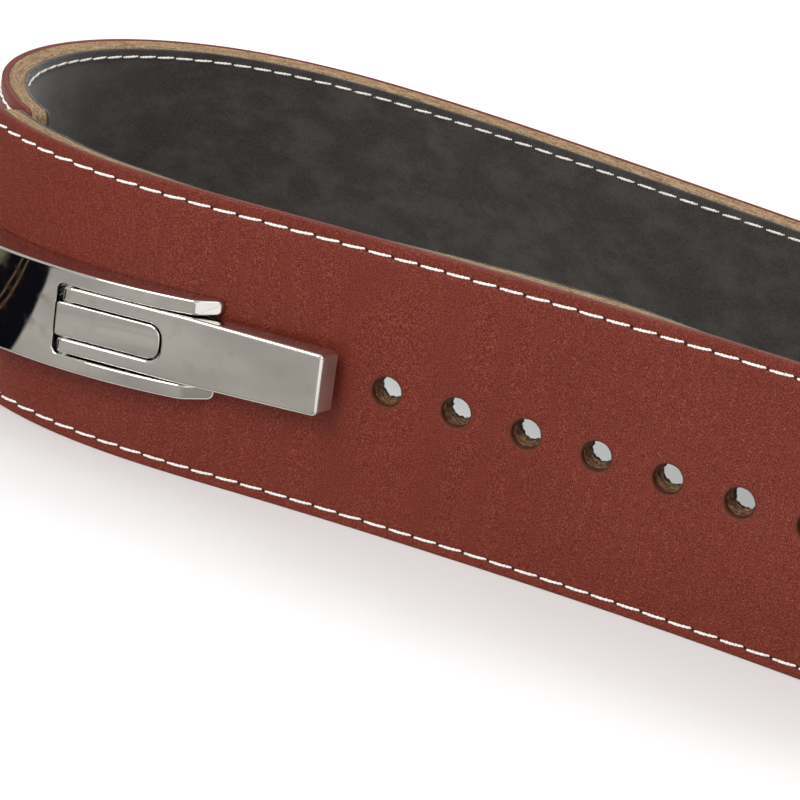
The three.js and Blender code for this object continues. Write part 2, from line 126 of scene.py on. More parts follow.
@dataclass
class StrapPath:
    """The strap's outer face seen from above, once round the waist."""

    length: float = 1120.0
    width: float = 102.0
    thickness: float = 10.0
    steps: int = 2000
    hidden_from: float = 0.14
    hidden_to: float = 0.82
    outer_end: float = -177.5
    overlap: float = 30.0
    overlap_clearance: float = 0.8
    tail_overlap: float = 5.0
    step_in_length: float = 300.0
    shift: np.ndarray = field(default_factory=lambda: np.zeros(2))

    def __post_init__(self) -> None:
        """Works out the points of the curve and its way out."""
        shares = (np.arange(self.steps) + 0.5) / self.steps
        turns = np.interp(shares, [b.share for b in BENDS], [b.turning for b in BENDS]) / self.steps
        hidden = (shares > self.hidden_from) & (shares < self.hidden_to)
        turns[hidden] *= (360 - turns[~hidden].sum()) / turns[hidden].sum()
        headings = np.concatenate([[0], np.cumsum(turns)])
        middles = np.radians(headings[:-1] + turns / 2)
        step = self.length / self.steps
        x = np.concatenate([[0], np.cumsum(step * np.cos(middles))])
        y = np.concatenate([[0], np.cumsum(step * np.sin(middles))])
        done = smooth_step(self.hidden_from, self.hidden_to, np.arange(self.steps + 1) / self.steps)
        self.points = np.stack([x - x[-1] * done, y - y[-1] * done], axis=1)
        way = np.gradient(self.points, axis=0)
        way[0] = way[-1] = way[0] + way[-1]
        way /= np.linalg.norm(way, axis=1, keepdims=True)
        self.ways = way

    @property
    def tail_end(self) -> float:
        """Gives the distance of the strap's inner end."""
        return self.length + self.outer_end + self.tail_overlap

    def _along_table(self, table: np.ndarray, distance: np.ndarray) -> np.ndarray:
        """Reads a table of rows at even steps round the loop.

        Args:
            table: One row for each step.
            distance: Where to read it.

        Returns:
            One row for each distance.
        """
        laps = np.asarray(distance, float) / self.length
        place = (laps - np.floor(laps)) * self.steps
        marks = np.arange(self.steps + 1)
        return np.stack([np.interp(place, marks, table[:, k]) for k in range(2)], axis=-1)

    def along(self, distance: np.ndarray) -> np.ndarray:
        """Gives the way along the strap, seen from above."""
        return self._along_table(self.ways, distance)

    def out(self, distance: np.ndarray) -> np.ndarray:
        """Gives the way out of the strap's face, seen from above."""
        along = self.along(distance)
        return np.stack([along[..., 1], -along[..., 0]], axis=-1)

    def over(self, distance: np.ndarray, height: np.ndarray) -> np.ndarray:
        """Finds a plan point over the outer face.

        Args:
            distance: Distance along the strap.
            height: Height above the face, negative below it.

        Returns:
            Plan points in millimetres.
        """
        height = np.asarray(height, float)[..., None]
        return self._along_table(self.points, distance) + self.out(distance) * height + self.shift

    def step_in(self, distance: np.ndarray) -> np.ndarray:
        """Gives how far the strap has stepped in to pass under its outer end."""
        done = self.length + self.outer_end - self.overlap
        share = smooth_step(done - self.step_in_length, done, distance)
        return share * (self.thickness + self.overlap_clearance)

    def in_strap(self, distance: np.ndarray, depth: np.ndarray, level: np.ndarray) -> np.ndarray:
        """Finds a point in the strap.

        Args:
            distance: Distance along the strap.
            depth: Depth below the strap's own outer face.
            level: Height over the floor.

        Returns:
            Points in metres.
        """
        distance, depth, level = np.broadcast_arrays(distance, depth, level)
        plan = self.over(distance, -depth - self.step_in(distance))
        return np.concatenate([plan, level[..., None]], axis=-1) * MM


@dataclass
class LeverPlace:
    """The lever's own frame: u along it, v out of its top face and w across it."""

    path: StrapPath
    slot_end: float = -117.5
    turn_deg: float = 2.6
    drop: float = 4.4
    root_height: float = 11.3
    tip_height: float = 12.7
    pin_setback: float = 4.2
    handle_length: float = 102.6
    handle_thickness: float = 5.6

    def __post_init__(self) -> None:
        """Sets the strap and the lever where the frame has the lever's pin."""
        root = self.path.over(self.slot_end + self.pin_setback, self.root_height)
        tip = self.path.over(self.slot_end + self.handle_length, self.tip_height)
        way = (tip - root) / np.linalg.norm(tip - root)
        plan = root - way * self.pin_setback
        self.way = np.array([way[0], way[1], 0.0])
        self.out = np.array([way[1], -way[0], 0.0])
        turn = Matrix.Rotation(math.radians(self.turn_deg), 3, Vector(self.out))
        self.along = np.array(turn @ Vector(self.way))
        self.across = np.array(turn @ Vector((0, 0, 1)))
        self.origin = np.array([plan[0], plan[1], self.path.width / 2 - self.drop])
        pin = np.array(frame["record"]["behaviour"]["joints"][0]["pos_m"]) / MM
        found = self.space(self.pin_setback, -self.handle_thickness / 2, 0.0) / MM
        self.path.shift = (pin - found)[:2]
        self.origin[:2] += self.path.shift
        distances = np.arange(self.path.outer_end - 10, 60, 1.0)
        face = self.path.over(distances, np.zeros_like(distances)) - self.origin[:2]
        self.face_u = face @ self.way[:2]
        self.face_v = face @ self.out[:2]

    def space(self, u: np.ndarray, v: np.ndarray, w: np.ndarray) -> np.ndarray:
        """Finds points of the lever's frame in space, in metres."""
        u, v, w = (np.asarray(value, float)[..., None] for value in (u, v, w))
        return (self.origin + self.along * u + self.out * v + self.across * w) * MM

    def plan_u(self, u: np.ndarray, w: np.ndarray) -> np.ndarray:
        """Gives how far along the lever a point is when seen from above."""
        turn = math.radians(self.turn_deg)
        return u * math.cos(turn) - w * math.sin(turn)

    def face_under(self, u: np.ndarray) -> np.ndarray:
        """Gives the height of the leather's face in the lever's frame."""
        return np.interp(u, self.face_u, self.face_v)


def make_object(name: str, verts: np.ndarray, faces: Sequence[Sequence[int]]) -> bpy.types.Object:
    """Makes a mesh object in the scene.

    Args:
        name: The piece's name.
        verts: Its points in metres.
        faces: Its faces, as indices of the points.

    Returns:
        The object, with smooth faces.
    """
    mesh = bpy.data.meshes.new(name)
    mesh.from_pydata([tuple(v) for v in verts], [], [tuple(f) for f in faces])
    mesh.validate()
    mesh.polygons.foreach_set("use_smooth", [True] * len(mesh.polygons))
    obj = bpy.data.objects.new(name, mesh)
    bpy.context.scene.collection.objects.link(obj)
    return obj


def hand_over(obj: bpy.types.Object, body: Body, nodes: Sequence[str] = ()) -> None:
    """Ties a finished piece to its body and hides the nodes that it stands for.

    Args:
        obj: The piece.
        body: The body that it moves with.
        nodes: The nodes of the frame that it replaces.
    """
    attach(obj, body.value)
    if nodes:
        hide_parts(*nodes)
    LOG.info("%s: %d faces", obj.name, len(obj.data.polygons))


class NodeBuilder:
    """Adds nodes to a tree."""

    tree: bpy.types.NodeTree

    def node(self, kind: str, feeds: dict[str | int, object] | None = None,
             **settings: object) -> bpy.types.Node:
        """Adds a node.

        Args:
            kind: The node's type.
            feeds: What goes into its inputs, as sockets or plain values.
            **settings: Its properties.

        Returns:
            The node.
        """
        node = self.tree.nodes.new(kind)
        for key, value in settings.items():
            setattr(node, key, value)
        for key, value in (feeds or {}).items():
            self.feed(node.inputs[key], value)
        return node

    def feed(self, socket: bpy.types.NodeSocket, value: object) -> None:
        """Links a socket to another, or sets it to a plain value."""
        if isinstance(value, bpy.types.NodeSocket):
            self.tree.links.new(value, socket)
        elif isinstance(value, tuple) and socket.type == "RGBA":
            socket.default_value = (*value, 1.0)
        else:
            socket.default_value = value

    def math(self, operation: str, a: object, b: object = 0.0) -> bpy.types.NodeSocket:
        """Adds a Math node and gives its result."""
        return self.node("ShaderNodeMath", {0: a, 1: b}, operation=operation).outputs[0]


class Shader(NodeBuilder):
    """Builds the node tree of one material."""

    def __init__(self, name: str) -> None:
        """Makes a material with a bare Principled shader."""
        self.material = bpy.data.materials.new(name)
        self.material.use_nodes = True
        self.tree = self.material.node_tree
        self.principled = self.tree.nodes["Principled BSDF"]

    def set(self, **values: object) -> None:
        """Feeds the shader's inputs, named with _ for a space."""
        for key, value in values.items():
            self.feed(self.principled.inputs[key.replace("_", " ")], value)

    def object_place(self) -> bpy.types.NodeSocket:
        """Gives the Object coordinates."""
        return self.node("ShaderNodeTexCoord").outputs["Object"]

    def attribute(self, name: str, output: str = "Fac") -> bpy.types.NodeSocket:
        """Gives one of the mesh's own attributes."""
        return self.node("ShaderNodeAttribute", attribute_name=name).outputs[output]

    def split(self, place: bpy.types.NodeSocket) -> bpy.types.NodeOutputs:
        """Splits coordinates into X, Y and Z."""
        return self.node("ShaderNodeSeparateXYZ", {0: place}).outputs

    def stretched(self, place: bpy.types.NodeSocket,
                  scale: tuple[float, float, float]) -> bpy.types.NodeSocket:
        """Scales coordinates by a factor for each axis."""
        return self.node("ShaderNodeMapping", {"Vector": place, "Scale": scale}).outputs["Vector"]

    def noise(self, place: bpy.types.NodeSocket, size: float, detail: float = 2.0,
              roughness: float = 0.5) -> bpy.types.NodeSocket:
        """Adds noise.

        Args:
            place: The coordinates in metres.
            size: The size of one blot in millimetres.
            detail: How many finer layers it has.
            roughness: How strong they are.

        Returns:
            The noise, from 0 to 1.
        """
        node = self.node("ShaderNodeTexNoise", {
            "Vector": place, "Scale": 1 / (size * MM), "Detail": detail, "Roughness": roughness,
        })
        return node.outputs["Fac"]

    def between(self, value: object, low: float, high: float, to_low: float = 0.0,
                to_high: float = 1.0) -> bpy.types.NodeSocket:
        """Maps a value from one range to another, with smooth ends."""
        node = self.node("ShaderNodeMapRange", {
            "Value": value, "From Min": low, "From Max": high, "To Min": to_low, "To Max": to_high,
        }, interpolation_type="SMOOTHSTEP")
        return node.outputs["Result"]

    def mix(self, share: object, a: object, b: object) -> bpy.types.NodeSocket:
        """Mixes two colours."""
        return self.node("ShaderNodeMix", {0: share, 6: a, 7: b}, data_type="RGBA").outputs[2]

    def bump(self, height: object, distance: float, strength: float = 1.0,
             under: bpy.types.NodeSocket | None = None) -> bpy.types.NodeSocket:
        """Turns a height into a normal.

        Args:
            height: The height, from 0 to 1.
            distance: How high 1 stands, in millimetres.
            strength: How much of it shows.
            under: A normal that it is laid over.

        Returns:
            The normal.
        """
        feeds = {"Height": height, "Distance": distance * MM, "Strength": strength}
        if under is not None:
            feeds["Normal"] = under
        return self.node("ShaderNodeBump", feeds).outputs["Normal"]


class GrowthTree(NodeBuilder):
    """Builds a Geometry Nodes tree that grows one form on every point."""

    def __init__(self, name: str, sizes: Sequence[str], finish: str) -> None:
        """Makes a tree with its named inputs.

        Args:
            name: The tree's name.
            sizes: Names of the plain numbers that go in.
            finish: Name of the material that goes in.
        """
        self.tree = bpy.data.node_groups.new(name, "GeometryNodeTree")
        self.finish = finish
        self.add_socket("Geometry", "NodeSocketGeometry")
        self.add_socket("Geometry", "NodeSocketGeometry", "OUTPUT")
        for size in sizes:
            self.add_socket(size, "NodeSocketFloat")
        self.add_socket("Seed", "NodeSocketInt")
        self.add_socket(finish, "NodeSocketMaterial")
        self.given = self.tree.nodes.new("NodeGroupInput").outputs

    def add_socket(self, name: str, kind: str, side: str = "INPUT") -> None:
        """Gives the tree one more input or output."""
        self.tree.interface.new_socket(name, in_out=side, socket_type=kind)

    def vector(self, x: object, y: object, z: object) -> bpy.types.NodeSocket:
        """Joins three values into a vector."""
        return self.node("ShaderNodeCombineXYZ", {0: x, 1: y, 2: z}).outputs[0]

    def attribute(self, name: str) -> bpy.types.NodeSocket:
        """Gives a vector that is stored on the points."""
        kind = "GeometryNodeInputNamedAttribute"
        return self.node(kind, {"Name": name}, data_type="FLOAT_VECTOR").outputs["Attribute"]

    def chance(self, low: object, high: object) -> bpy.types.NodeSocket:
        """Gives each point its own number between two values."""
        feeds = {2: low, 3: high, "Seed": self.given["Seed"]}
        return self.node("FunctionNodeRandomValue", feeds, data_type="FLOAT").outputs[1]

    def circle(self, sides: int, radius: bpy.types.NodeSocket) -> bpy.types.NodeSocket:
        """Draws a circle as a tube's profile."""
        feeds = {"Resolution": sides, "Radius": radius}
        return self.node("GeometryNodeCurvePrimitiveCircle", feeds).outputs["Curve"]

    def tube(self, line: bpy.types.NodeSocket, profile: bpy.types.NodeSocket) -> bpy.types.NodeSocket:
        """Makes a closed tube along a line."""
        feeds = {"Curve": line, "Profile Curve": profile, "Fill Caps": True}
        return self.node("GeometryNodeCurveToMesh", feeds).outputs[0]

    def end(self, instances: bpy.types.NodeSocket, smooth: bool) -> bpy.types.NodeTree:
        """Ends the tree with real geometry in its material.

        Args:
            instances: The forms on their points.
            smooth: Whether their faces are shaded smooth.

        Returns:
            The finished tree.
        """
        real = self.node("GeometryNodeRealizeInstances", {0: instances}).outputs[0]
        if smooth:
            real = self.node("GeometryNodeSetShadeSmooth", {0: real}).outputs[0]
        dressed = self.node("GeometryNodeSetMaterial", {
            "Geometry": real, "Material": self.given[self.finish],
        })
        self.node("NodeGroupOutput", {0: dressed.outputs[0]})
        return self.tree


@dataclass(frozen=True)
class StitchRow:
    """One row of stitches: where its middle line is, and where its stitches start."""

    inset: float
    first: float
    pitch: float
    upper: bool

    def level(self, width: float) -> float:
        """Gives the row's height over the floor."""
        return width - self.inset if self.upper else self.inset


ROWS = (
    StitchRow(inset=4.6, first=-159.8, pitch=9.305, upper=True),
    StitchRow(inset=3.9, first=-161.0, pitch=9.19, upper=False),
)


@dataclass(frozen=True)
class FaceLeather:
    """Red-brown grain leather with a satin finish, with painted shade in the needle's holes and partly
    painted shade round the punched holes.
    """

    deep: tuple[float, float, float] = (0.072, 0.0052, 0.0019)
    base: tuple[float, float, float] = (0.135, 0.0128, 0.0047)
    pale: tuple[float, float, float] = (0.223, 0.054, 0.032)
    # the colour below is the cut wall's own colour, also painted as shade on the holes' rounded rims
    cut: tuple[float, float, float] = (0.080, 0.020, 0.010)
    # the colour below is painted shade in the needle's holes
    pit_shade: tuple[float, float, float] = (0.012, 0.006, 0.005)

    def material(self, path: StrapPath, punched: bool) -> bpy.types.Material:
        """Builds the material, with the needle's pits along both rows of stitches painted dark as shade.

        Args:
            path: The strap.
            punched: Whether it is the dull wall of a hole.

        Returns:
            The material.
        """
        shader = Shader("punched_red_leather" if punched else "satin_red_leather")
        place = shader.attribute("strap_at", "Vector")
        space = shader.object_place()
        grain = shader.noise(space, 0.26, 0)
        cloud = shader.noise(space, 38, 3)
        speck = shader.noise(space, 0.29, 0)
        tone = shader.mix(shader.between(grain, 0.40, 0.60), self.deep, self.base)
        tone = shader.mix(shader.between(speck, 0.53, 0.68, 0.0, 1.0), tone, self.pale)
        tone = shader.mix(shader.between(cloud, 0.3, 0.7, 0.0, 0.12), tone, self.deep)
        # partly painted shade: the face darkens to the cut colour on and round each hole's rim, partly
        # the cut leather's own colour
        tone = shader.mix(shader.attribute("rim"), tone, self.cut)
        pits = self.pits(shader, place, path)
        # painted shade: the needle's holes are coloured near-black
        tone = shader.mix(pits, tone, self.pit_shade)
        pore = shader.noise(space, 0.30, 1, 0.6)
        normal = shader.bump(pore, 0.05, 0.55)
        normal = shader.bump(cloud, 0.5, 0.25, normal)
        normal = shader.bump(shader.math("SUBTRACT", 1.0, pits), 0.5, 0.8, normal)
        shader.set(
            Base_Color=tone,
            Roughness=shader.between(cloud, 0.3, 0.7, 0.48, 0.58),
            Normal=normal,
            Specular_IOR_Level=0.05 if punched else 0.22,
        )
        return shader.material

    @staticmethod
    def pits(shader: Shader, place: bpy.types.NodeSocket, path: StrapPath) -> bpy.types.NodeSocket:
        """Marks the needle's holes between the stitches, where the colour paints their shade.

        Args:
            shader: The material's builder.
            place: Distance, depth and level in the strap, in metres.
            path: The strap.

        Returns:
            1 in a hole, 0 on the leather round it.
        """
        split = shader.split(place)
        total: bpy.types.NodeSocket | None = None
        for row in ROWS:
            start = (row.first - row.pitch / 2) * MM
            laps = shader.math("DIVIDE", shader.math("SUBTRACT", split["X"], start), row.pitch * MM)
            off = shader.math("SUBTRACT", shader.math("FRACT", shader.math("ADD", laps, 0.5)), 0.5)
            aside = shader.math("MULTIPLY", off, row.pitch)
            over = shader.math("SUBTRACT", split["Z"], row.level(path.width) * MM)
            over = shader.math("DIVIDE", over, MM)
            square = shader.math("MULTIPLY", aside, aside)
            reach = shader.math("SQRT", shader.math("ADD", square, shader.math("MULTIPLY", over, over)))
            pit_shade = shader.between(reach, 0.75, 0.30)
            total = pit_shade if total is None else shader.math("MAXIMUM", total, pit_shade)
        return total


@dataclass(frozen=True)
class CoreLeather:
    """Tan split leather, seen on the cut edges and in the holes."""

    pale: tuple[float, float, float] = (0.36, 0.245, 0.145)
    base: tuple[float, float, float] = (0.20, 0.128, 0.070)
    dark: tuple[float, float, float] = (0.060, 0.034, 0.020)
    wall: tuple[float, float, float] = (0.045, 0.020, 0.011)
    fleck: tuple[float, float, float] = (0.27, 0.130, 0.060)

    def material(self) -> bpy.types.Material:
        """Builds the material, with its fibres along the strap."""
        shader = Shader("tan_core_leather")
        place = shader.attribute("strap_at", "Vector")
        fibres = shader.noise(shader.stretched(place, (0.10, 1.0, 1.0)), 0.8, 4, 0.7)
        blots = shader.noise(place, 1.1, 3, 0.6)
        tone = shader.mix(shader.between(fibres, 0.36, 0.62), self.base, self.pale)
        tone = shader.mix(shader.between(blots, 0.45, 0.70, 0.0, 0.7), tone, self.dark)
        layers = shader.noise(shader.stretched(place, (0.45, 1.0, 0.45)), 0.75, 2, 0.6)
        wall = shader.mix(shader.between(layers, 0.42, 0.66), self.wall, self.fleck)
        tone = shader.mix(shader.math("MULTIPLY", shader.attribute("rim"), 0.9), tone, wall)
        normal = shader.bump(fibres, 0.35, 0.8)
        shader.set(Base_Color=tone, Roughness=0.86, Normal=normal, Specular_IOR_Level=0.12)
        return shader.material


@dataclass(frozen=True)
class SuedeLining:
    """Dark napped suede on the inner side."""

    dark: tuple[float, float, float] = (0.016, 0.013, 0.012)
    base: tuple[float, float, float] = (0.045, 0.038, 0.034)
    pale: tuple[float, float, float] = (0.095, 0.082, 0.073)

    def material(self) -> bpy.types.Material:
        """Builds the material, with its nap and the marks of brushing."""
        shader = Shader("dark_suede_lining")
        space = shader.object_place()
        nap = shader.noise(space, 0.5, 4, 0.7)
        brushed = shader.noise(shader.stretched(space, (0.6, 0.6, 1.0)), 11, 5, 0.65)
        tone = shader.mix(shader.between(nap, 0.35, 0.65), self.dark, self.base)
        tone = shader.mix(shader.between(brushed, 0.40, 0.66, 0.0, 0.30), tone, self.pale)
        normal = shader.bump(nap, 0.25, 0.9)
        shader.set(
            Base_Color=tone,
            Roughness=0.97,
            Normal=normal,
            Specular_IOR_Level=0.12,
            Sheen_Weight=0.35,
            Sheen_Roughness=0.5,
        )
        return shader.material


@dataclass(frozen=True)
class WaxedThread:
    """Thick off-white thread."""

    base: tuple[float, float, float] = (0.90, 0.87, 0.82)
    shade: tuple[float, float, float] = (0.42, 0.34, 0.29)

    def material(self) -> bpy.types.Material:
        """Builds the material, with fibres and a little dirt."""
        shader = Shader("waxed_white_thread")
        space = shader.object_place()
        fibre = shader.noise(space, 0.18, 3, 0.6)
        dirt = shader.noise(space, 1.6, 2)
        tone = shader.mix(shader.between(dirt, 0.5, 0.8, 0.0, 0.5), self.base, self.shade)
        shader.set(
            Base_Color=tone,
            Roughness=0.7,
            Normal=shader.bump(fibre, 0.08, 0.7),
            Specular_IOR_Level=0.3,
        )
        return shader.material


@dataclass(frozen=True)
class PolishedChrome:
    """Polished plating with faint smudges, less polished on the lever's sawn end."""

    base: tuple[float, float, float] = (0.66, 0.635, 0.605)
    smudged: tuple[float, float, float] = (0.50, 0.44, 0.40)

    def material(self) -> bpy.types.Material:
        """Builds the material."""
        shader = Shader("polished_chrome")
        space = shader.object_place()
        smudge = shader.noise(space, 8, 4, 0.6)
        wave = shader.noise(space, 14, 1)
        tone = shader.mix(shader.between(smudge, 0.52, 0.72, 0.0, 0.35), self.base, self.smudged)
        rough = shader.between(smudge, 0.48, 0.75, 0.035, 0.15)
        dull = shader.math("MULTIPLY", shader.attribute("dull"), 0.30)
        shader.set(
            Base_Color=tone,
            Metallic=1.0,
            Roughness=shader.math("ADD", rough, dull),
            Normal=shader.bump(wave, 0.06, 0.5),
        )
        return shader.material


@dataclass(frozen=True)
class PlainSteel:
    """Dull plated steel for the plate, the pin and the screws."""

    base: tuple[float, float, float] = (0.42, 0.40, 0.38)
    marked: tuple[float, float, float] = (0.22, 0.21, 0.20)

    def material(self) -> bpy.types.Material:
        """Builds the material, with fine tool marks."""
        shader = Shader("plain_steel")
        space = shader.object_place()
        marks = shader.noise(shader.stretched(space, (1.0, 1.0, 6.0)), 2.2, 3)
        tone = shader.mix(shader.between(marks, 0.4, 0.7, 0.0, 0.35), self.base, self.marked)
        shader.set(
            Base_Color=tone,
            Metallic=1.0,
            Roughness=shader.between(marks, 0.3, 0.7, 0.26, 0.42),
            Normal=shader.bump(marks, 0.05, 0.3),
        )
        return shader.material


@dataclass
class Sheet:
    """A net of points over the strap, by distance and height over its middle line."""

    spots: np.ndarray
    faces: list[tuple[int, ...]]
    edge: list[int]
    rings: list[list[int]]


@dataclass(frozen=True)
class Hole:
    """One hole through the strap."""

    distance: float
    rise: float


@dataclass
class Strap:
    """The three layers of the strap, with their holes."""

    path: StrapPath
    hole_radius: float = 5.0
    hole_pitch: float = 25.0
    first_hole: int = -5
    last_hole: int = 7
    hook_hole: float = 928.25
    hook_rise: float = -4.4
    cell: float = 8.0
    cell_parts: int = 12
    calm_reach: float = 14.0
    corner_radius: float = 4.0
    face_depth: tuple[float, float] = (0.0, 2.6)
    core_depth: tuple[float, float] = (2.62, 8.58)
    lining_depth: tuple[float, float] = (8.6, 10.0)
    groove_depth: float = 0.4
    groove_width: float = 1.3
    lining_groove: float = 0.3
    dip_depth: float = 0.32
    dip_width: float = 1.3
    wave_depth: float = 0.10

    # How steeply the cut upper edge falls towards the inner side, by distance
    BEVEL = (
        (-165, 0.00), (-140, 0.02), (-122, 0.13), (-100, 0.17), (-80, 0.27), (-60, 0.32),
        (-18, 0.32), (5, 0.17), (35, 0.03), (68, 0.00), (84, 0.12), (100, 0.28), (150, 0.32),
        (210, 0.16), (900, 0.16), (955, 0.05),
    )

    def holes(self) -> list[Hole]:
        """Gives the row of holes and the one that the hook goes into."""
        row = [Hole(k * self.hole_pitch, 0.3) for k in range(self.first_hole, self.last_hole + 1)]
        return [*row, Hole(self.hook_hole, self.hook_rise)]

    def columns(self, inset: float) -> tuple[np.ndarray, list[int]]:
        """Spaces the net along the strap, with finer steps at the holes and the ends.

        Args:
            inset: How far inside the strap's outline the net ends.

        Returns:
            The distances, and for each hole the column where its cell starts.
        """
        start = self.path.outer_end + inset
        end = self.path.tail_end - inset
        ease = 1 - np.cos(np.linspace(0, math.pi / 2, 9))
        marks = list(start + ease * self.corner_radius)
        starts = []
        for hole in self.holes():
            left = hole.distance - self.cell
            gap = left - marks[-1]
            parts = max(1, round(gap / (2.3 if gap < 15 else 4.0)))
            marks += list(np.linspace(marks[-1], left, parts + 1)[1:])
            starts.append(len(marks) - 1)
            marks += list(np.linspace(left, left + 2 * self.cell, self.cell_parts + 1)[1:])
        tail = end - ease[::-1] * self.corner_radius
        if tail[0] > marks[-1]:
            parts = max(2, round((tail[0] - marks[-1]) / 4))
            marks += list(np.linspace(marks[-1], tail[0], parts + 1)[1:])
            marks += list(tail[1:])
        else:
            marks += list(np.linspace(marks[-1], end, 9)[1:])
        return np.array(marks), starts

    def net_rows(self, inset: float) -> tuple[np.ndarray, int]:
        """Spaces the net across the strap, with finer steps at the stitches.

        Args:
            inset: How far inside the strap's outline the net ends.

        Returns:
            The heights over the middle line, and the row where the holes' cells start.
        """
        half = self.path.width / 2
        upper, lower = (half - row.inset for row in ROWS)
        grooves = np.array([-2.6, -1.6, -0.8, 0.0, 0.8, 1.6])
        middle = np.linspace(-self.cell, self.cell, self.cell_parts + 1)
        high = np.linspace(self.cell, upper - 4, 10)[1:]
        low = np.linspace(-self.cell, -lower + 4, 10)[1:][::-1]
        rows = [
            -half + inset, *(-lower - grooves[::-1]), *low, *middle, *high, *(upper + grooves),
            half - inset,
        ]
        return np.array(rows), 1 + len(grooves) + len(low)

    def bend_net(self, spots: np.ndarray, inset: float) -> np.ndarray:
        """Moves the net to the hook's hole and into the round corners of the ends.

        Args:
            spots: Distance and height over the middle line of each point.
            inset: How far inside the strap's outline the net ends.

        Returns:
            The moved points.
        """
        s, y = spots[:, 0], spots[:, 1].copy()
        half = self.path.width / 2 - inset
        near = 1 - smooth_step(20, 60, np.abs(s - self.hook_hole))
        middle = 1 - smooth_step(self.calm_reach, 40, np.abs(y))
        rise = 0.3 * (1 - near) + self.hook_rise * near
        y += rise * middle
        radius = self.corner_radius - inset
        for end, way in ((self.path.outer_end + inset, 1), (self.path.tail_end - inset, -1)):
            into = np.clip((s - end) * way, 0, radius)
            reach = half - radius + np.sqrt(np.maximum(radius ** 2 - (radius - into) ** 2, 0))
            squeeze = (reach - self.calm_reach) / (half - self.calm_reach)
            squeezed = self.calm_reach + (np.abs(y) - self.calm_reach) * squeeze
            y = np.where(np.abs(y) > self.calm_reach, np.sign(y) * squeezed, y)
        return np.stack([s, y], axis=1)

    def sheet(self, inset: float, rim: float, narrow: float) -> Sheet:
        """Lays the net with its holes left open.

        Args:
            inset: How far inside the strap's outline the net ends.
            rim: How far outside the hole's wall it ends.
            narrow: How far the row's holes close in with fibres.

        Returns:
            The net.
        """
        marks, starts = self.columns(inset)
        rows, row_start = self.net_rows(inset)
        parts = self.cell_parts
        index = -np.ones((len(marks), len(rows)), int)
        closed = np.zeros(index.shape, bool)
        for start in starts:
            closed[start + 1:start + parts, row_start + 1:row_start + parts] = True
        spots: list[tuple[float, float]] = []
        for i, s in enumerate(marks):
            for j, y in enumerate(rows):
                if not closed[i, j]:
                    index[i, j] = len(spots)
                    spots.append((s, y))
        faces: list[tuple[int, ...]] = []
        for i in range(len(marks) - 1):
            for j in range(len(rows) - 1):
                corners = (index[i, j], index[i + 1, j], index[i + 1, j + 1], index[i, j + 1])
                inside = any(a <= i < a + parts for a in starts) and row_start <= j < row_start + parts
                if not inside:
                    faces.append(corners)
        rings = []
        for start, hole in zip(starts, self.holes()):
            a, b, c, d = start, start + parts, row_start, row_start + parts
            square = [index[i, c] for i in range(a, b)] + [index[b, j] for j in range(c, d)]
            square += [index[i, d] for i in range(b, a, -1)] + [index[a, j] for j in range(d, c, -1)]
            angles = np.linspace(-0.75, 1.25, 4 * parts, endpoint=False) * math.pi
            closed_in = 0.0 if hole.distance == self.hook_hole else narrow
            reach = self.hole_radius + rim - closed_in
            circle = np.stack([np.cos(angles), np.sin(angles)], axis=1) * reach
            circle[:, 0] += hole.distance
            box = np.array([spots[k] for k in square])
            last = square
            for share in (0.3, 0.55, 0.75, 0.9, 1.0):
                ring = list(range(len(spots), len(spots) + 4 * parts))
                spots += [tuple(p) for p in box + (circle - box) * share]
                for k in range(4 * parts):
                    n = (k + 1) % (4 * parts)
                    faces.append((last[k], last[n], ring[n], ring[k]))
                last = ring
            rings.append(last)
        edge = [index[i, 0] for i in range(len(marks) - 1)]
        edge += [index[-1, j] for j in range(len(rows) - 1)]
        edge += [index[i, -1] for i in range(len(marks) - 1, 0, -1)]
        edge += [index[0, j] for j in range(len(rows) - 1, 0, -1)]
        return Sheet(self.bend_net(np.array(spots), inset), faces, edge, rings)

    def layer(self, name: str, depths: tuple[float, float], edge_profile: Sequence[tuple[float, float]],
              hole_profile: Sequence[tuple[float, float]], relief: Callable[[np.ndarray], np.ndarray],
              inner_relief: Callable[[np.ndarray], np.ndarray], bevelled: bool, rag: float,
              narrow: float) -> bpy.types.Object:
        """Builds one layer as a closed mesh.

        Args:
            name: The piece's name.
            depths: Depths of its outer and inner side.
            edge_profile: Steps over the outline: outwards from the net's end, and depth.
            hole_profile: Steps into a hole: inwards from the net's end, and depth.
            relief: Depth that is added on the outer side.
            inner_relief: Depth that is added on the inner side.
            bevelled: Whether the upper edge falls towards the inner side.
            rag: How ragged the holes' walls are.
            narrow: How far the row's holes close in with fibres.

        Returns:
            The object, with its place in the strap and its nearness to a cut as attributes.
        """
        inset = max(step[0] for step in edge_profile)
        rim = max(step[0] for step in hole_profile)
        net = self.sheet(inset, rim, narrow)
        count = len(net.spots)
        spots = [net.spots, net.spots]
        deep = [depths[0] + relief(net.spots), depths[1] + inner_relief(net.spots)]
        near = self.nearness(net.spots)
        cuts = [near, near]
        faces = list(net.faces)
        faces += [tuple(k + count for k in reversed(face)) for face in net.faces]
        total = 2 * count
        loops = [(net.edge, edge_profile, None)]
        loops += [(ring[::-1], hole_profile, hole) for ring, hole in zip(net.rings, self.holes())]
        noise = np.random.default_rng(SEED)
        for loop, profile, hole in loops:
            ring = net.spots[loop]
            way = np.roll(ring, -1, axis=0) - np.roll(ring, 1, axis=0)
            outward = np.stack([way[:, 1], -way[:, 0]], axis=1)
            outward /= np.linalg.norm(outward, axis=1, keepdims=True)
            last = list(loop)
            angles = np.arange(len(loop)) / len(loop)
            starts = noise.random(4)
            for step, (reach, depth) in enumerate(profile):
                out = np.full(len(loop), reach)
                if hole is not None and rag:
                    out = out + rag * ripple(angles, [
                        (1 / 5, starts[0] + step / 9), (1 / 9, starts[1]), (1 / 14, starts[2] - step / 7),
                    ])
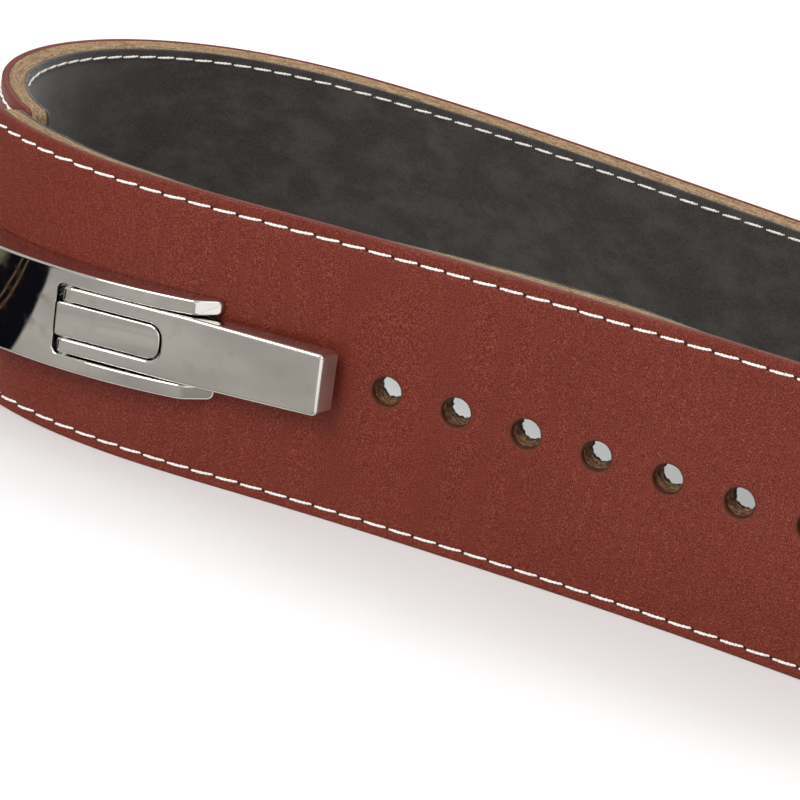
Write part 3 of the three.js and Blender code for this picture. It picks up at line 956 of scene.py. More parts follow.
                spots.append(ring + outward * out[:, None])
                deep.append(np.full(len(loop), depth))
                cuts.append(np.full(len(loop), 1.0 if hole is not None else 0.0))
                fresh = list(range(total, total + len(loop)))
                total += len(loop)
                for k in range(len(loop)):
                    n = (k + 1) % len(loop)
                    faces.append((last[n], last[k], fresh[k], fresh[n]))
                last = fresh
            inner = [k + count for k in loop]
            for k in range(len(loop)):
                n = (k + 1) % len(loop)
                faces.append((last[n], last[k], inner[k], inner[n]))
        flat = np.concatenate(spots)
        depth = np.concatenate(deep)
        if bevelled:
            flat = self.fall(flat, depth)
        level = flat[:, 1] + self.path.width / 2
        verts = self.path.in_strap(flat[:, 0], depth, level)
        obj = make_object(name, verts, faces)
        places = np.stack([flat[:, 0], depth, level], axis=1) * MM
        self.store(obj, "strap_at", "FLOAT_VECTOR", "vector", places)
        self.store(obj, "rim", "FLOAT", "value", np.concatenate(cuts))
        return obj

    def fall(self, flat: np.ndarray, depth: np.ndarray) -> np.ndarray:
        """Lowers the cut upper edge towards the inner side."""
        steep = np.interp(flat[:, 0], [row[0] for row in self.BEVEL], [row[1] for row in self.BEVEL])
        uneven = 0.18 * ripple(flat[:, 0], [(23, 0.1), (9.5, 0.6), (4.1, 0.3)])
        into = np.maximum(depth - self.core_depth[0], 0)
        share = smooth_step(38, 51, flat[:, 1])
        drop = (steep + 0.05 + 0.05 * uneven) * into * share
        return np.stack([flat[:, 0], flat[:, 1] - drop], axis=1)

    def nearness(self, spots: np.ndarray) -> np.ndarray:
        """Gives how near each point is to a hole, from 0 to 1: the mask that darkens the leather round
        the holes, on the face partly as painted shade.
        """
        near = np.zeros(len(spots))
        for hole in self.holes():
            reach = np.hypot(spots[:, 0] - hole.distance, spots[:, 1] - hole.rise)
            near = np.maximum(near, np.exp(-np.maximum(reach - self.hole_radius - 0.5, 0) / 0.35))
        return near

    @staticmethod
    def mark_walls(obj: bpy.types.Object) -> None:
        """Gives the holes' walls the mesh's second material."""
        rim = np.zeros(len(obj.data.vertices), np.float32)
        obj.data.attributes["rim"].data.foreach_get("value", rim)
        for polygon in obj.data.polygons:
            polygon.material_index = int(min(rim[k] for k in polygon.vertices) > 0.97)

    @staticmethod
    def store(obj: bpy.types.Object, name: str, kind: str, key: str, values: np.ndarray) -> None:
        """Stores one value for each point of a mesh."""
        layer = obj.data.attributes.new(name, kind, "POINT")
        layer.data.foreach_set(key, np.asarray(values, np.float32).ravel())

    def face_relief(self, spots: np.ndarray) -> np.ndarray:
        """Gives the face's dents: the stitches' grooves, the holes' dips and slow waves."""
        half = self.path.width / 2
        along = ripple(spots[:, 0], [(83, 0.2), (47, 0.5)])
        across = ripple(spots[:, 1], [(71, 0.1), (39, 0.7)])
        depth = self.wave_depth * along * across
        for row in ROWS:
            level = half - row.inset if row.upper else -half + row.inset
            depth = depth + self.groove_depth * np.exp(-((spots[:, 1] - level) / self.groove_width) ** 2)
        for hole in self.holes():
            reach = np.hypot(spots[:, 0] - hole.distance, spots[:, 1] - hole.rise)
            away = np.maximum(reach - self.hole_radius, 0)
            depth = depth + self.dip_depth * np.exp(-away / self.dip_width)
        return depth

    def lining_relief(self, spots: np.ndarray) -> np.ndarray:
        """Gives the lining's dents along the stitches, inwards."""
        half = self.path.width / 2
        depth = np.zeros(len(spots))
        for row in ROWS:
            level = half - row.inset if row.upper else -half + row.inset
            depth = depth - self.lining_groove * np.exp(-((spots[:, 1] - level) / self.groove_width) ** 2)
        return depth

    def build(self) -> None:
        """Builds and dresses the three layers."""
        def flat(spots: np.ndarray) -> np.ndarray:
            """Adds no depth."""
            return np.zeros(len(spots))

        outer, inner = self.face_depth
        face = self.layer(
            "strap_face", self.face_depth,
            [(0.30, outer + 0.05), (0.60, outer + 0.22), (0.78, outer + 0.48), (0.84, outer + 0.85),
             (0.84, inner - 0.1)],
            [(0.10, outer + 0.42), (0.24, outer + 0.58), (0.33, outer + 0.86), (0.36, outer + 1.30),
             (0.36, inner - 0.05)],
            self.face_relief, flat, False, 0.06, 0.0,
        )
        for punched in (False, True):
            face.data.materials.append(FaceLeather().material(self.path, punched))
        self.mark_walls(face)
        hand_over(face, Body.BELT, ["face_leather"])
        outer, inner = self.core_depth
        core = self.layer(
            "strap_core", self.core_depth,
            [(0.25, outer + 0.1), (0.40, outer + 0.5), (0.42, outer + 2.0), (0.40, outer + 4.0),
             (0.34, inner - 0.5), (0.2, inner - 0.1)],
            [(0.25, outer + 0.1), (0.40, outer + 1.2), (0.55, outer + 2.4), (0.72, outer + 3.6),
             (0.90, outer + 4.8), (1.00, inner - 0.1)],
            flat, flat, True, 0.22, 0.6,
        )
        core.data.materials.append(CoreLeather().material())
        hand_over(core, Body.BELT, ["core_leather"])
        outer, inner = self.lining_depth
        lining = self.layer(
            "strap_lining", self.lining_depth,
            [(0.25, outer + 0.1), (0.45, outer + 0.5), (0.42, inner - 0.5), (0.2, inner - 0.12)],
            [(0.60, outer + 0.1), (1.15, outer + 0.5), (1.30, outer + 0.9), (0.90, inner - 0.1)],
            flat, self.lining_relief, True, 0.45, 0.8,
        )
        lining.data.materials.append(SuedeLining().material())
        hand_over(lining, Body.BELT, ["suede_lining"])


@dataclass
class Stitching:
    """The rows of stitches on both sides of the strap."""

    path: StrapPath
    thread: float = 1.2
    share: float = 0.975
    rise: float = 0.40
    dip: float = 0.50
    turns: float = 3.0
    jitter_deg: float = 1.6
    end_margin: float = 7.0
    line_parts: int = 9
    ply_sides: int = 6
    ply_radius: float = 0.36
    ply_offset: float = 0.38
    lean_deg: float = 2.6
    lean_at_buckle_deg: float = 4.0

    def rail(self, row: StitchRow, depth: float, side: int) -> tuple[np.ndarray, np.ndarray, np.ndarray]:
        """Lays out one row.

        Args:
            row: The row.
            depth: Depth of the leather's surface there.
            side: 1 on the outer side and -1 on the inner side.

        Returns:
            The stitches' middles, their ways along and their ways out.
        """
        low = self.path.outer_end + self.end_margin
        high = self.path.tail_end - self.end_margin
        first = math.ceil((low - row.first) / row.pitch)
        last = math.floor((high - row.first) / row.pitch)
        s = row.first + row.pitch * np.arange(first, last + 1)
        if side < 0:
            s = s[:-1] + row.pitch / 2
        spot = self.path.in_strap(s, depth, row.level(self.path.width))
        along = np.append(self.path.along(s), np.zeros((len(s), 1)), axis=1)
        out = np.append(self.path.out(s) * side, np.zeros((len(s), 1)), axis=1)
        buckle = 1 - smooth_step(-160, -70, s)
        lean = np.radians(self.lean_deg + self.lean_at_buckle_deg * buckle) * side
        along = along * np.cos(lean)[:, None] + np.array([0, 0, 1.0]) * np.sin(lean)[:, None]
        return spot, along, out

    def tree(self) -> bpy.types.NodeTree:
        """Builds the node tree that sews one twisted stitch on every point of a rail."""
        sizes = ("Stitch Length", "Thread Width", "Rise", "Dip", "Turns", "Jitter")
        tree = GrowthTree("sewn_row", sizes, "Thread")
        given = tree.given
        half = tree.math("MULTIPLY", given["Stitch Length"], 0.5)
        sunk = tree.math("MULTIPLY", given["Dip"], -1.0)
        top = tree.math("ADD", tree.math("MULTIPLY", given["Rise"], 2.0), given["Dip"])
        line = tree.node("GeometryNodeCurveQuadraticBezier", {
            "Resolution": self.line_parts,
            "Start": tree.vector(tree.math("MULTIPLY", half, -1.0), 0.0, sunk),
            "Middle": tree.vector(0.0, 0.0, top),
            "End": tree.vector(half, 0.0, sunk),
        })
        part = tree.node("GeometryNodeSplineParameter").outputs["Factor"]
        turned = tree.math("MULTIPLY", tree.math("MULTIPLY", part, given["Turns"]), 2 * math.pi)
        twisted = tree.node("GeometryNodeSetCurveTilt", {"Curve": line.outputs[0], "Tilt": turned})
        ply = tree.math("MULTIPLY", given["Thread Width"], self.ply_radius)
        plies = tree.node("GeometryNodeJoinGeometry")
        for side in (-1.0, 1.0):
            aside = tree.vector(tree.math("MULTIPLY", ply, self.ply_offset * side), 0.0, 0.0)
            moved = tree.node("GeometryNodeTransform", {
                "Geometry": tree.circle(self.ply_sides, ply), "Translation": aside,
            })
            tree.feed(plies.inputs[0], moved.outputs[0])
        turn = tree.node("FunctionNodeAxesToRotation", {
            0: tree.attribute("stitch_out"), 1: tree.attribute("stitch_along"),
        }, primary_axis="Z", secondary_axis="X")
        sewn = tree.node("GeometryNodeInstanceOnPoints", {
            "Points": given["Geometry"],
            "Instance": tree.tube(twisted.outputs[0], plies.outputs[0]),
            "Rotation": turn.outputs[0],
        })
        jitter = given["Jitter"]
        shake = tree.chance(tree.math("MULTIPLY", jitter, -1.0), jitter)
        shaken = tree.node("GeometryNodeRotateInstances", {
            "Instances": sewn.outputs[0], "Rotation": tree.vector(0.0, 0.0, shake),
        })
        return tree.end(shaken.outputs[0], smooth=True)

    def build(self) -> None:
        """Sews the rows and hands them over as plain meshes."""
        tree = self.tree()
        thread = WaxedThread().material()
        for side, depth, name in ((1, 0.4, "face_stitches"), (-1, 9.7, "lining_stitches")):
            rails = [self.rail(row, depth, side) for row in ROWS]
            spots, along, out = (np.concatenate([rail[k] for rail in rails]) for k in range(3))
            obj = make_object(name, spots, [])
            Strap.store(obj, "stitch_along", "FLOAT_VECTOR", "vector", along)
            Strap.store(obj, "stitch_out", "FLOAT_VECTOR", "vector", out)
            grow(obj, tree, {
                "Stitch Length": ROWS[0].pitch * self.share * MM,
                "Thread Width": self.thread * MM,
                "Rise": self.rise * MM,
                "Dip": self.dip * MM,
                "Turns": self.turns,
                "Jitter": math.radians(self.jitter_deg),
                "Seed": SEED,
                "Thread": thread,
            })


@dataclass
class LooseFibres:
    """Short fibres that stick out of the lining's upper edge and of its holes."""

    strap: Strap
    length: float = 1.0
    width: float = 0.10
    edge_pitch: float = 0.42
    hole_fibres: int = 44
    end_margin: float = 3.0

    def scatter(self) -> tuple[np.ndarray, np.ndarray]:
        """Scatters the fibres' feet.

        Returns:
            Their places in metres, and the ways they point.
        """
        strap, path = self.strap, self.strap.path
        noise = np.random.default_rng(SEED)
        low, high = path.outer_end + self.end_margin, path.tail_end - self.end_margin
        count = int((high - low) / self.edge_pitch)
        s = noise.uniform(low, high, count)
        depth = noise.uniform(strap.lining_depth[0], strap.lining_depth[1], count)
        flat = strap.fall(np.stack([s, np.full(count, path.width / 2 - 0.15)], axis=1), depth)
        aside = noise.normal(0, 0.5, count)
        lean = np.stack([aside, np.ones(count), noise.uniform(-0.1, 1.0, count)], axis=1)
        rows = [(flat, depth, lean)]
        for hole in strap.holes()[:-1]:
            angle = noise.uniform(0, 2 * np.pi, self.hole_fibres)
            round_way = np.stack([np.cos(angle), np.sin(angle)], axis=1)
            flat = np.array([hole.distance, hole.rise]) + round_way * (strap.hole_radius - 0.6)
            low, high = strap.lining_depth[0] - 0.6, strap.lining_depth[1] - 0.2
            depth = noise.uniform(low, high, self.hole_fibres)
            side = noise.normal(0, 0.6, self.hole_fibres)
            inward = -round_way + np.stack([-round_way[:, 1], round_way[:, 0]], axis=1) * side[:, None]
            lean = np.append(inward, noise.uniform(-0.5, 0.5, (self.hole_fibres, 1)), axis=1)
            rows.append((flat, depth, lean))
        flat, depth, lean = (np.concatenate([row[k] for row in rows]) for k in range(3))
        spots = path.in_strap(flat[:, 0], depth, flat[:, 1] + path.width / 2)
        along = np.append(path.along(flat[:, 0]), np.zeros((len(flat), 1)), axis=1)
        out = np.append(path.out(flat[:, 0]), np.zeros((len(flat), 1)), axis=1)
        ways = along * lean[:, :1] + np.array([0, 0, 1.0]) * lean[:, 1:2] - out * lean[:, 2:]
        return spots, ways / np.linalg.norm(ways, axis=1, keepdims=True)

    def tree(self) -> bpy.types.NodeTree:
        """Builds the node tree that sets one bent fibre on every point."""
        tree = GrowthTree("loose_fibres", ("Fibre Length", "Fibre Width"), "Fibre")
        given = tree.given
        shape: dict[str | int, object] = {"Resolution": 3, "Start": (0, 0, 0)}
        for name, spot in (("Middle", (0.1, 0.0, 0.6)), ("End", (0.55, 0.0, 0.85))):
            feeds = {0: spot, "Scale": given["Fibre Length"]}
            shape[name] = tree.node("ShaderNodeVectorMath", feeds, operation="SCALE").outputs[0]
        line = tree.node("GeometryNodeCurveQuadraticBezier", shape).outputs[0]
        circle = tree.circle(3, tree.math("MULTIPLY", given["Fibre Width"], 0.5))
        way = tree.attribute("fibre_way")
        turn = tree.node("FunctionNodeAlignRotationToVector", {"Vector": way}, axis="Z")
        grown = tree.node("GeometryNodeInstanceOnPoints", {
            "Points": given["Geometry"],
            "Instance": tree.tube(line, circle),
            "Rotation": turn.outputs[0],
            "Scale": tree.chance(0.3, 1.0),
        })
        spin = tree.vector(0.0, 0.0, tree.chance(0.0, 2 * math.pi))
        spun = tree.node("GeometryNodeRotateInstances", {"Instances": grown.outputs[0], "Rotation": spin})
        return tree.end(spun.outputs[0], smooth=False)

    def build(self) -> None:
        """Grows the fibres and hands them over as a plain mesh."""
        spots, ways = self.scatter()
        obj = make_object("lining_fibres", spots, [])
        Strap.store(obj, "fibre_way", "FLOAT_VECTOR", "vector", ways)
        grow(obj, self.tree(), {
            "Fibre Length": self.length * MM,
            "Fibre Width": self.width * MM,
            "Seed": SEED,
            "Fibre": SuedeLining().material(),
        })


def grow(obj: bpy.types.Object, tree: bpy.types.NodeTree, values: dict[str, object]) -> None:
    """Runs a node tree on an object's points and keeps the result as a plain mesh.

    Args:
        obj: The object, which then rides on the belt.
        tree: The node tree.
        values: Its inputs by name.
    """
    modifier = obj.modifiers.new("grow", "NODES")
    modifier.node_group = tree
    for item in tree.interface.items_tree:
        if item.in_out == "INPUT" and item.name in values:
            modifier[item.identifier] = values[item.name]
    depsgraph = bpy.context.evaluated_depsgraph_get()
    mesh = bpy.data.meshes.new_from_object(obj.evaluated_get(depsgraph), depsgraph=depsgraph)
    obj.modifiers.clear()
    obj.data = mesh
    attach(obj, Body.BELT.value)
    LOG.info("%s: %d faces", obj.name, len(mesh.polygons))


class Corner(NamedTuple):
    """One corner of an outline: its place in the front view and its radius."""

    u: float
    w: float
    radius: float


def round_outline(corners: Sequence[Corner], parts: int = 7) -> np.ndarray:
    """Rounds the corners of an outline.

    Args:
        corners: The corners, anticlockwise.
        parts: Steps in each round corner.

    Returns:
        The points of the outline.
    """
    points = []
    for k, corner in enumerate(corners):
        here = np.array([corner.u, corner.w])
        before = np.array(corners[k - 1][:2]) - here
        after = np.array(corners[(k + 1) % len(corners)][:2]) - here
        before /= np.linalg.norm(before)
        after /= np.linalg.norm(after)
        if corner.radius == 0:
            points.append(here)
            continue
        half = math.acos(np.clip(before @ after, -1, 1)) / 2
        reach = corner.radius / math.tan(half)
        middle = here + (before + after) / np.linalg.norm(before + after) * corner.radius / math.sin(half)
        first = here + before * reach - middle
        last = here + after * reach - middle
        start = math.atan2(first[1], first[0])
        turn = (math.atan2(last[1], last[0]) - start + math.pi) % (2 * math.pi) - math.pi
        for step in range(parts + 1):
            angle = start + turn * step / parts
            points.append(middle + corner.radius * np.array([math.cos(angle), math.sin(angle)]))
    return np.array(points)


def offset(outline: np.ndarray, inset: float) -> np.ndarray:
    """Moves an anticlockwise outline inwards.

    Args:
        outline: The outline's points.
        inset: How far it moves.

    Returns:
        The new points, as many as before.
    """
    before = outline - np.roll(outline, 1, axis=0)
    after = np.roll(outline, -1, axis=0) - outline
    before /= np.linalg.norm(before, axis=1, keepdims=True)
    after /= np.linalg.norm(after, axis=1, keepdims=True)
    inward = np.stack([-(before + after)[:, 1], (before + after)[:, 0]], axis=1)
    length = np.linalg.norm(inward, axis=1, keepdims=True)
    inward /= length
    mitre = length / 2
    return outline + inward * inset / np.maximum(mitre, 0.5)


@dataclass
class Plate:
    """A metal piece with an outline in the front view and rounded edges."""

    name: str
    outline: np.ndarray
    top: Profile
    bottom: Profile
    edge: float
    foot: float
    cuts: Sequence[float]
    cross_cuts: Sequence[float] = ()
    edge_parts: int = 5
    support: float = 0.25
    flat_height: float = 20.0
    crown: float = 0.0
    half_width: float = 1.0

    def rings(self) -> list[tuple[float, float]]:
        """Gives the inset and the flat height of every ring, from the top down."""
        angles = np.linspace(0, math.pi / 2, self.edge_parts + 1)
        rings = [(self.edge + self.support, 0.0)]
        rings += [(self.edge * (1 - math.sin(a)), -self.edge * (1 - math.cos(a))) for a in angles]
        base = -self.flat_height
        for a in angles[::-1]:
            rings.append((self.foot * (1 - math.sin(a)), base + self.foot * (1 - math.cos(a))))
        return rings + [(self.foot + self.support, base)]

    def build(self, place: Place, plan_u: Callable[[np.ndarray, np.ndarray], np.ndarray],
              shape: Callable[[np.ndarray], np.ndarray] | None = None) -> bpy.types.Object:
        """Builds the piece.

        Args:
            place: Turns u, v and w into a point in space.
            plan_u: Gives the distance along the piece at which its height is read.
            shape: A last change to the points u, v, w.

        Returns:
            The object.
        """
        mesh = bmesh.new()
        rings = []
        for inset, height in self.rings():
            ring = offset(self.outline, inset) if inset else self.outline
            rings.append([mesh.verts.new((u, w, height)) for u, w in ring])
        count = len(self.outline)
        for upper, lower in zip(rings, rings[1:]):
            for k in range(count):
                n = (k + 1) % count
                mesh.faces.new((lower[k], lower[n], upper[n], upper[k]))
        mesh.faces.new(rings[0])
        mesh.faces.new(rings[-1][::-1])
        for axis, marks in ((0, self.cuts), (1, self.cross_cuts)):
            normal = Vector((1, 0, 0)) if axis == 0 else Vector((0, 1, 0))
            for mark in marks:
                bmesh.ops.bisect_plane(
                    mesh, geom=[*mesh.verts, *mesh.edges, *mesh.faces],
                    plane_co=normal * mark, plane_no=normal, dist=1e-5,
                )
        flat = np.array([vert.co for vert in mesh.verts])
        u, w, height = flat[:, 0], flat[:, 1], flat[:, 2]
        along = plan_u(u, w)
        upper = height > -self.flat_height / 2
        crown = self.crown * (w / self.half_width) ** 2
        lower = self.bottom(along) + height + self.flat_height
        v = np.where(upper, self.top(along) + height - crown, lower)
        points = np.stack([u, v, w], axis=1)
        if shape is not None:
            points = shape(points)
        spots = place(points[:, 0], points[:, 1], points[:, 2])
        for vert, spot in zip(mesh.verts, spots):
            vert.co = spot
        bmesh.ops.recalc_face_normals(mesh, faces=mesh.faces)
        data = bpy.data.meshes.new(self.name)
        mesh.to_mesh(data)
        mesh.free()
        data.polygons.foreach_set("use_smooth", [True] * len(data.polygons))
        data.set_sharp_from_angle(angle=math.radians(32))
        obj = bpy.data.objects.new(self.name, data)
        bpy.context.scene.collection.objects.link(obj)
        return obj


@dataclass
class Buckle:
    """The buckle: frame with its hook, pad, lever and the steel pieces under them."""

    place: LeverPlace
    frame_width: float = 36.0
    slot_width: float = 25.2
    slot_radius: float = 2.5
    arm_length: float = 50.5
    ramp_length: float = 8.4
    nose_height: float = 1.5
    heel_length: float = 30.0
    heel_slope: float = 9.0
    arc_radius: float = 170.0
    crown_at: float = 22.0
    crown_rise: float = 0.8
    base_thickness: float = 2.2
    base_overhang: float = 6.0
    gap: float = 0.3
    running_gap: float = 0.5
    tip_width: float = 22.0
    tip_thickness: float = 8.0
    tip_slant: float = 2.6
    tip_radius: float = 2.0
    pad_length: float = 40.5
    pad_width: float = 12.2
    pad_radius: float = 4.5
    hook_width: float = 16.0
    hook_thickness: float = 3.2
    hook_radius: float = 1.5
    hook_past_end: float = 12.0
    prong_width: float = 6.0
    prong_length: float = 4.5
    prong_grip: float = 6.5

    def frame_top(self, u: np.ndarray) -> np.ndarray:
        """Gives the height of the frame's top face, down its sloping ends."""
        arc = self.crown_rise - (u - self.crown_at) ** 2 / (2 * self.arc_radius)
        nose = self.arm_length + self.ramp_length
        foot = -self.heel_length - self.heel_slope
        end = self.place.face_under(np.array([nose]))[0] + self.nose_height
        start = self.place.face_under(np.array([foot]))[0] + self.gap + 1.6
        arm_end = self.crown_rise - (self.arm_length - self.crown_at) ** 2 / (2 * self.arc_radius)
        heel = self.crown_rise - (-self.heel_length - self.crown_at) ** 2 / (2 * self.arc_radius)
        ramp = arm_end + (u - self.arm_length) / self.ramp_length * (end - arm_end)
        slope = heel + (-self.heel_length - u) / self.heel_slope * (start - heel)
        return np.where(u > self.arm_length, ramp, np.where(u < -self.heel_length, slope, arc))

    def frame_bottom(self, u: np.ndarray) -> np.ndarray:
        """Gives the height of the frame's underside."""
        return self.place.face_under(u) + self.gap

    def make_frame(self) -> bpy.types.Object:
        """Builds the frame and its hook as one object."""
        half, slot = self.frame_width / 2, self.slot_width / 2
        nose = self.arm_length + self.ramp_length
        foot = -self.heel_length - self.heel_slope + 0.3
        outline = round_outline([
            Corner(foot, -half, 2.4), Corner(nose, -half, 2.0), Corner(nose, -slot, 1.6),
            Corner(0, -slot, self.slot_radius), Corner(0, slot, self.slot_radius),
            Corner(nose, slot, 1.6), Corner(nose, half, 2.0), Corner(foot, half, 2.4),
        ])
        cuts = [*np.arange(-37, -30.5, 2), *np.linspace(-self.heel_length, self.arm_length, 41),
                *np.arange(51, 57, 2)]
        plate = Plate("buckle_frame_shell", outline, self.frame_top, self.frame_bottom, 0.75, 0.4, cuts)
        shell = plate.build(self.place.space, self.place.plan_u)
        hook = self.make_hook()
        join([shell, *hook])
        return shell

    def make_hook(self) -> list[bpy.types.Object]:
        """Builds the hook's arm and its prong in the strap's own frame."""
        path = self.place.path
        level = path.width / 2 - self.place.drop
        heel = path.outer_end + path.overlap + self.heel_slope
        far = path.outer_end - self.hook_past_end
        tip = far - self.prong_length
        top = self.gap + self.hook_thickness
        bottom = -(path.thickness + path.overlap_clearance + self.prong_grip)

        def on_strap(u: np.ndarray, v: np.ndarray, w: np.ndarray) -> np.ndarray:
            """Places distance, height and offset from the hook's level."""
            plan = path.over(u, v)
            return np.concatenate([plan, (w + level)[..., None]], axis=-1) * MM

        def same(u: np.ndarray, w: np.ndarray) -> np.ndarray:
            """Reads heights at u itself."""
            return u

        def level_at(height: float) -> Profile:
            """Gives a flat profile."""
            return lambda u: np.full_like(u, height)

        pieces = []
        for name, low, high, width, v_top, v_low in (
            ("hook_arm", tip, heel, self.hook_width, top, self.gap),
            ("hook_prong", tip, far, self.prong_width, top - 0.6, bottom),
        ):
            half = width / 2
            outline = round_outline([
                Corner(low, -half, self.hook_radius), Corner(high, -half, self.hook_radius),
                Corner(high, half, self.hook_radius), Corner(low, half, self.hook_radius),
            ])
            cuts = np.arange(low + 2, high - 1, 2.5)
            top_at, low_at = level_at(v_top), level_at(v_low)
            plate = Plate(name, outline, top_at, low_at, 0.6, 0.6, cuts, flat_height=8.0)
            pieces.append(plate.build(on_strap, same))
        return pieces

    def make_pad(self) -> bpy.types.Object:
        """Builds the raised pad in the slot."""
        half = self.pad_width / 2
        left = 2 * self.gap
        outline = round_outline([
            Corner(left, -half, 1.4), Corner(self.pad_length, -half, self.pad_radius),
            Corner(self.pad_length, half, self.pad_radius), Corner(left, half, 1.4),
        ], parts=10)
        lift = 2 * self.gap + self.base_thickness
        plate = Plate(
            "centre_pad_shell", outline, lambda u: np.zeros_like(u),
            lambda u: self.place.face_under(u) + lift, 0.55, 0.3,
            np.arange(2, self.pad_length, 2.5), np.arange(-5, 5.1, 1.25), crown=0.28, half_width=half,
        )
        return plate.build(self.place.space, self.place.plan_u)

    def make_handle(self) -> bpy.types.Object:
        """Builds the forked lever with its thick slanted tip."""
        place = self.place
        root = place.handle_thickness / 2
        half = self.slot_width / 2 - self.running_gap
        tip = self.tip_width / 2
        left = place.pin_setback - root
        fork = self.pad_width / 2 + self.running_gap
        fork_end = self.pad_length + self.running_gap
        thick_from = self.arm_length + self.base_overhang
        outline = round_outline([
            Corner(left, -half, self.slot_radius), Corner(self.arm_length, -half, 0),
            Corner(place.handle_length, -tip, self.tip_radius),
            Corner(place.handle_length, tip, self.tip_radius),
            Corner(self.arm_length, half, 0), Corner(left, half, self.slot_radius),
            Corner(left, fork, 1.2),
            Corner(fork_end, fork, self.pad_radius + self.running_gap),
            Corner(fork_end, -fork, self.pad_radius + self.running_gap), Corner(left, -fork, 1.2),
        ], parts=9)

        def bulge(u: np.ndarray) -> np.ndarray:
            """Gives the half thickness of the round root."""
            aside = np.minimum(np.abs(np.minimum(u - place.pin_setback, 0)), root)
            return np.maximum(np.sqrt(root ** 2 - aside ** 2), 0.9)

        def top(u: np.ndarray) -> np.ndarray:
            """Gives the top face, which rounds off at the root."""
            return bulge(u) - root

        def bottom(u: np.ndarray) -> np.ndarray:
            """Gives the underside, with the step down to the thick tip."""
            thick = np.clip((u - thick_from) / self.tip_thickness, 0, 1)
            return -root - bulge(u) - thick * (self.tip_thickness - place.handle_thickness)

        def slant(points: np.ndarray) -> np.ndarray:
            """Leans the end wall back towards the top."""
            near = smooth_step(place.handle_length - 14, place.handle_length, points[:, 0])
            high = np.clip(1 + points[:, 1] / self.tip_thickness, 0, 1)
            moved = points.copy()
            moved[:, 0] -= near * high * self.tip_slant
            return moved

        cuts = [*np.arange(left + 0.4, place.pin_setback, 0.4), place.pin_setback, *np.arange(6, 55, 4),
                *np.arange(thick_from, 96, 2)]
        plate = Plate("lever_handle_shell", outline, top, bottom, 1.1, 0.6, cuts)
        obj = plate.build(place.space, place.plan_u, slant)
        facing = np.array([vert.normal for vert in obj.data.vertices]) @ place.along
        Strap.store(obj, "dull", "FLOAT", "value", smooth_step(0.75, 0.95, facing))
        return obj

    def build(self) -> None:
        """Builds and dresses the buckle."""
        chrome = PolishedChrome().material()
        steel = PlainSteel().material()
        for obj, body, node in (
            (self.make_frame(), Body.BELT, "buckle_frame"),
            (self.make_pad(), Body.BELT, "centre_pad"),
            (self.make_handle(), Body.LEVER, "lever_handle"),
        ):
            obj.data.materials.clear()
            obj.data.materials.append(chrome)
            hand_over(obj, body, [node])
        for node in ("base_plate", "hinge_pin", "screw_1", "screw_2"):
            dress(frame["nodes"][node], steel)
            LOG.info("%s: stays as it is in the frame", node)


def join(objects: Sequence[bpy.types.Object]) -> None:
    """Joins meshes into the first object."""
    mesh = bmesh.new()
    for obj in objects:
        mesh.from_mesh(obj.data)
    mesh.to_mesh(objects[0].data)
    mesh.free()
    for obj in objects[1:]:
        bpy.data.objects.remove(obj)


def dress(obj: bpy.types.Object, material: bpy.types.Material) -> None:
    """Gives a node of the frame its finish."""
    if not obj.material_slots:
        obj.data.materials.append(material)
    for slot in obj.material_slots:
        slot.material = material


@dataclass(frozen=True)
class PaintedReflectionCard:
    """A grey card with a black border that only the polished metal reflects; all its colours are painted
    reflections for the chrome.

    The border starts on a slanting line through corner. Distances to that line are in metres,
    negative on the border's side.
    """

    outline: tuple[tuple[float, float], ...] = (
        (-0.75, -0.75), (0.0, -0.75), (0.0, -0.125), (-0.14, -0.125), (-0.25, -0.08),
        (-0.29, 0.1), (-0.75, 0.1),
    )
    lift: float = 0.0008
    corner: tuple[float, float] = (-0.2364, -0.163)
    slant: float = 0.651
    border_end: float = -0.0705
    streaks: tuple[float, float] = (-0.036, -0.045)
    black: tuple[float, float, float] = (0.004, 0.004, 0.006)
    brown: tuple[float, float, float] = (0.12, 0.075, 0.045)
    olive: tuple[float, float, float] = (0.13, 0.125, 0.085)
    grey: tuple[float, float, float] = (0.30, 0.294, 0.278)
    pale_grey: tuple[float, float, float] = (0.405, 0.396, 0.374)

    def material(self) -> bpy.types.Material:
        """Builds the material, whose colours are painted reflections."""
        shader = Shader("painted_reflection_card")
        space = shader.object_place()
        split = shader.split(space)
        lean = shader.math("MULTIPLY", shader.math("SUBTRACT", split["Y"], self.corner[1]), -self.slant)
        aside = shader.math("ADD", shader.math("SUBTRACT", split["X"], self.corner[0]), lean)
        cloud = shader.noise(space, 70, 2)
        # painted reflection: a mottled grey field for the chrome's faces
        grey = shader.mix(shader.between(cloud, 0.3, 0.7), self.grey, self.pale_grey)
        past = shader.between(aside, self.border_end + 0.0015, self.border_end - 0.0015)
        # painted reflection: a black border, olive past its far end, crossed by two brown streaks
        tone = shader.mix(past, self.black, self.olive)
        for streak in self.streaks:
            off = shader.math("ABSOLUTE", shader.math("SUBTRACT", aside, streak))
            tone = shader.mix(shader.between(off, 0.0016, 0.0006), tone, self.brown)
        tone = shader.mix(shader.between(aside, -0.002, 0.002), tone, grey)
        shader.set(Base_Color=tone, Roughness=0.9, Specular_IOR_Level=0.0)
        return shader.material

    def build(self) -> None:
        """Lays the card before the belt, unseen but for the painted reflections that it gives the metal.
        """
        spots = np.array([(x, y, self.lift) for x, y in self.outline])
        obj = make_object("painted_reflection_sheet", spots, [tuple(range(len(spots)))])
        obj.data.materials.append(self.material())
        obj.visible_camera = False
        obj.visible_diffuse = False
        obj.visible_shadow = False


class Light(NamedTuple):
    """One soft light: where it hangs, its width, its power in watts and what it faces."""

    name: str
    spot: tuple[float, float, float]
    size: float
    power: float
    aim: tuple[float, float, float] = (0, 0, 0.05)


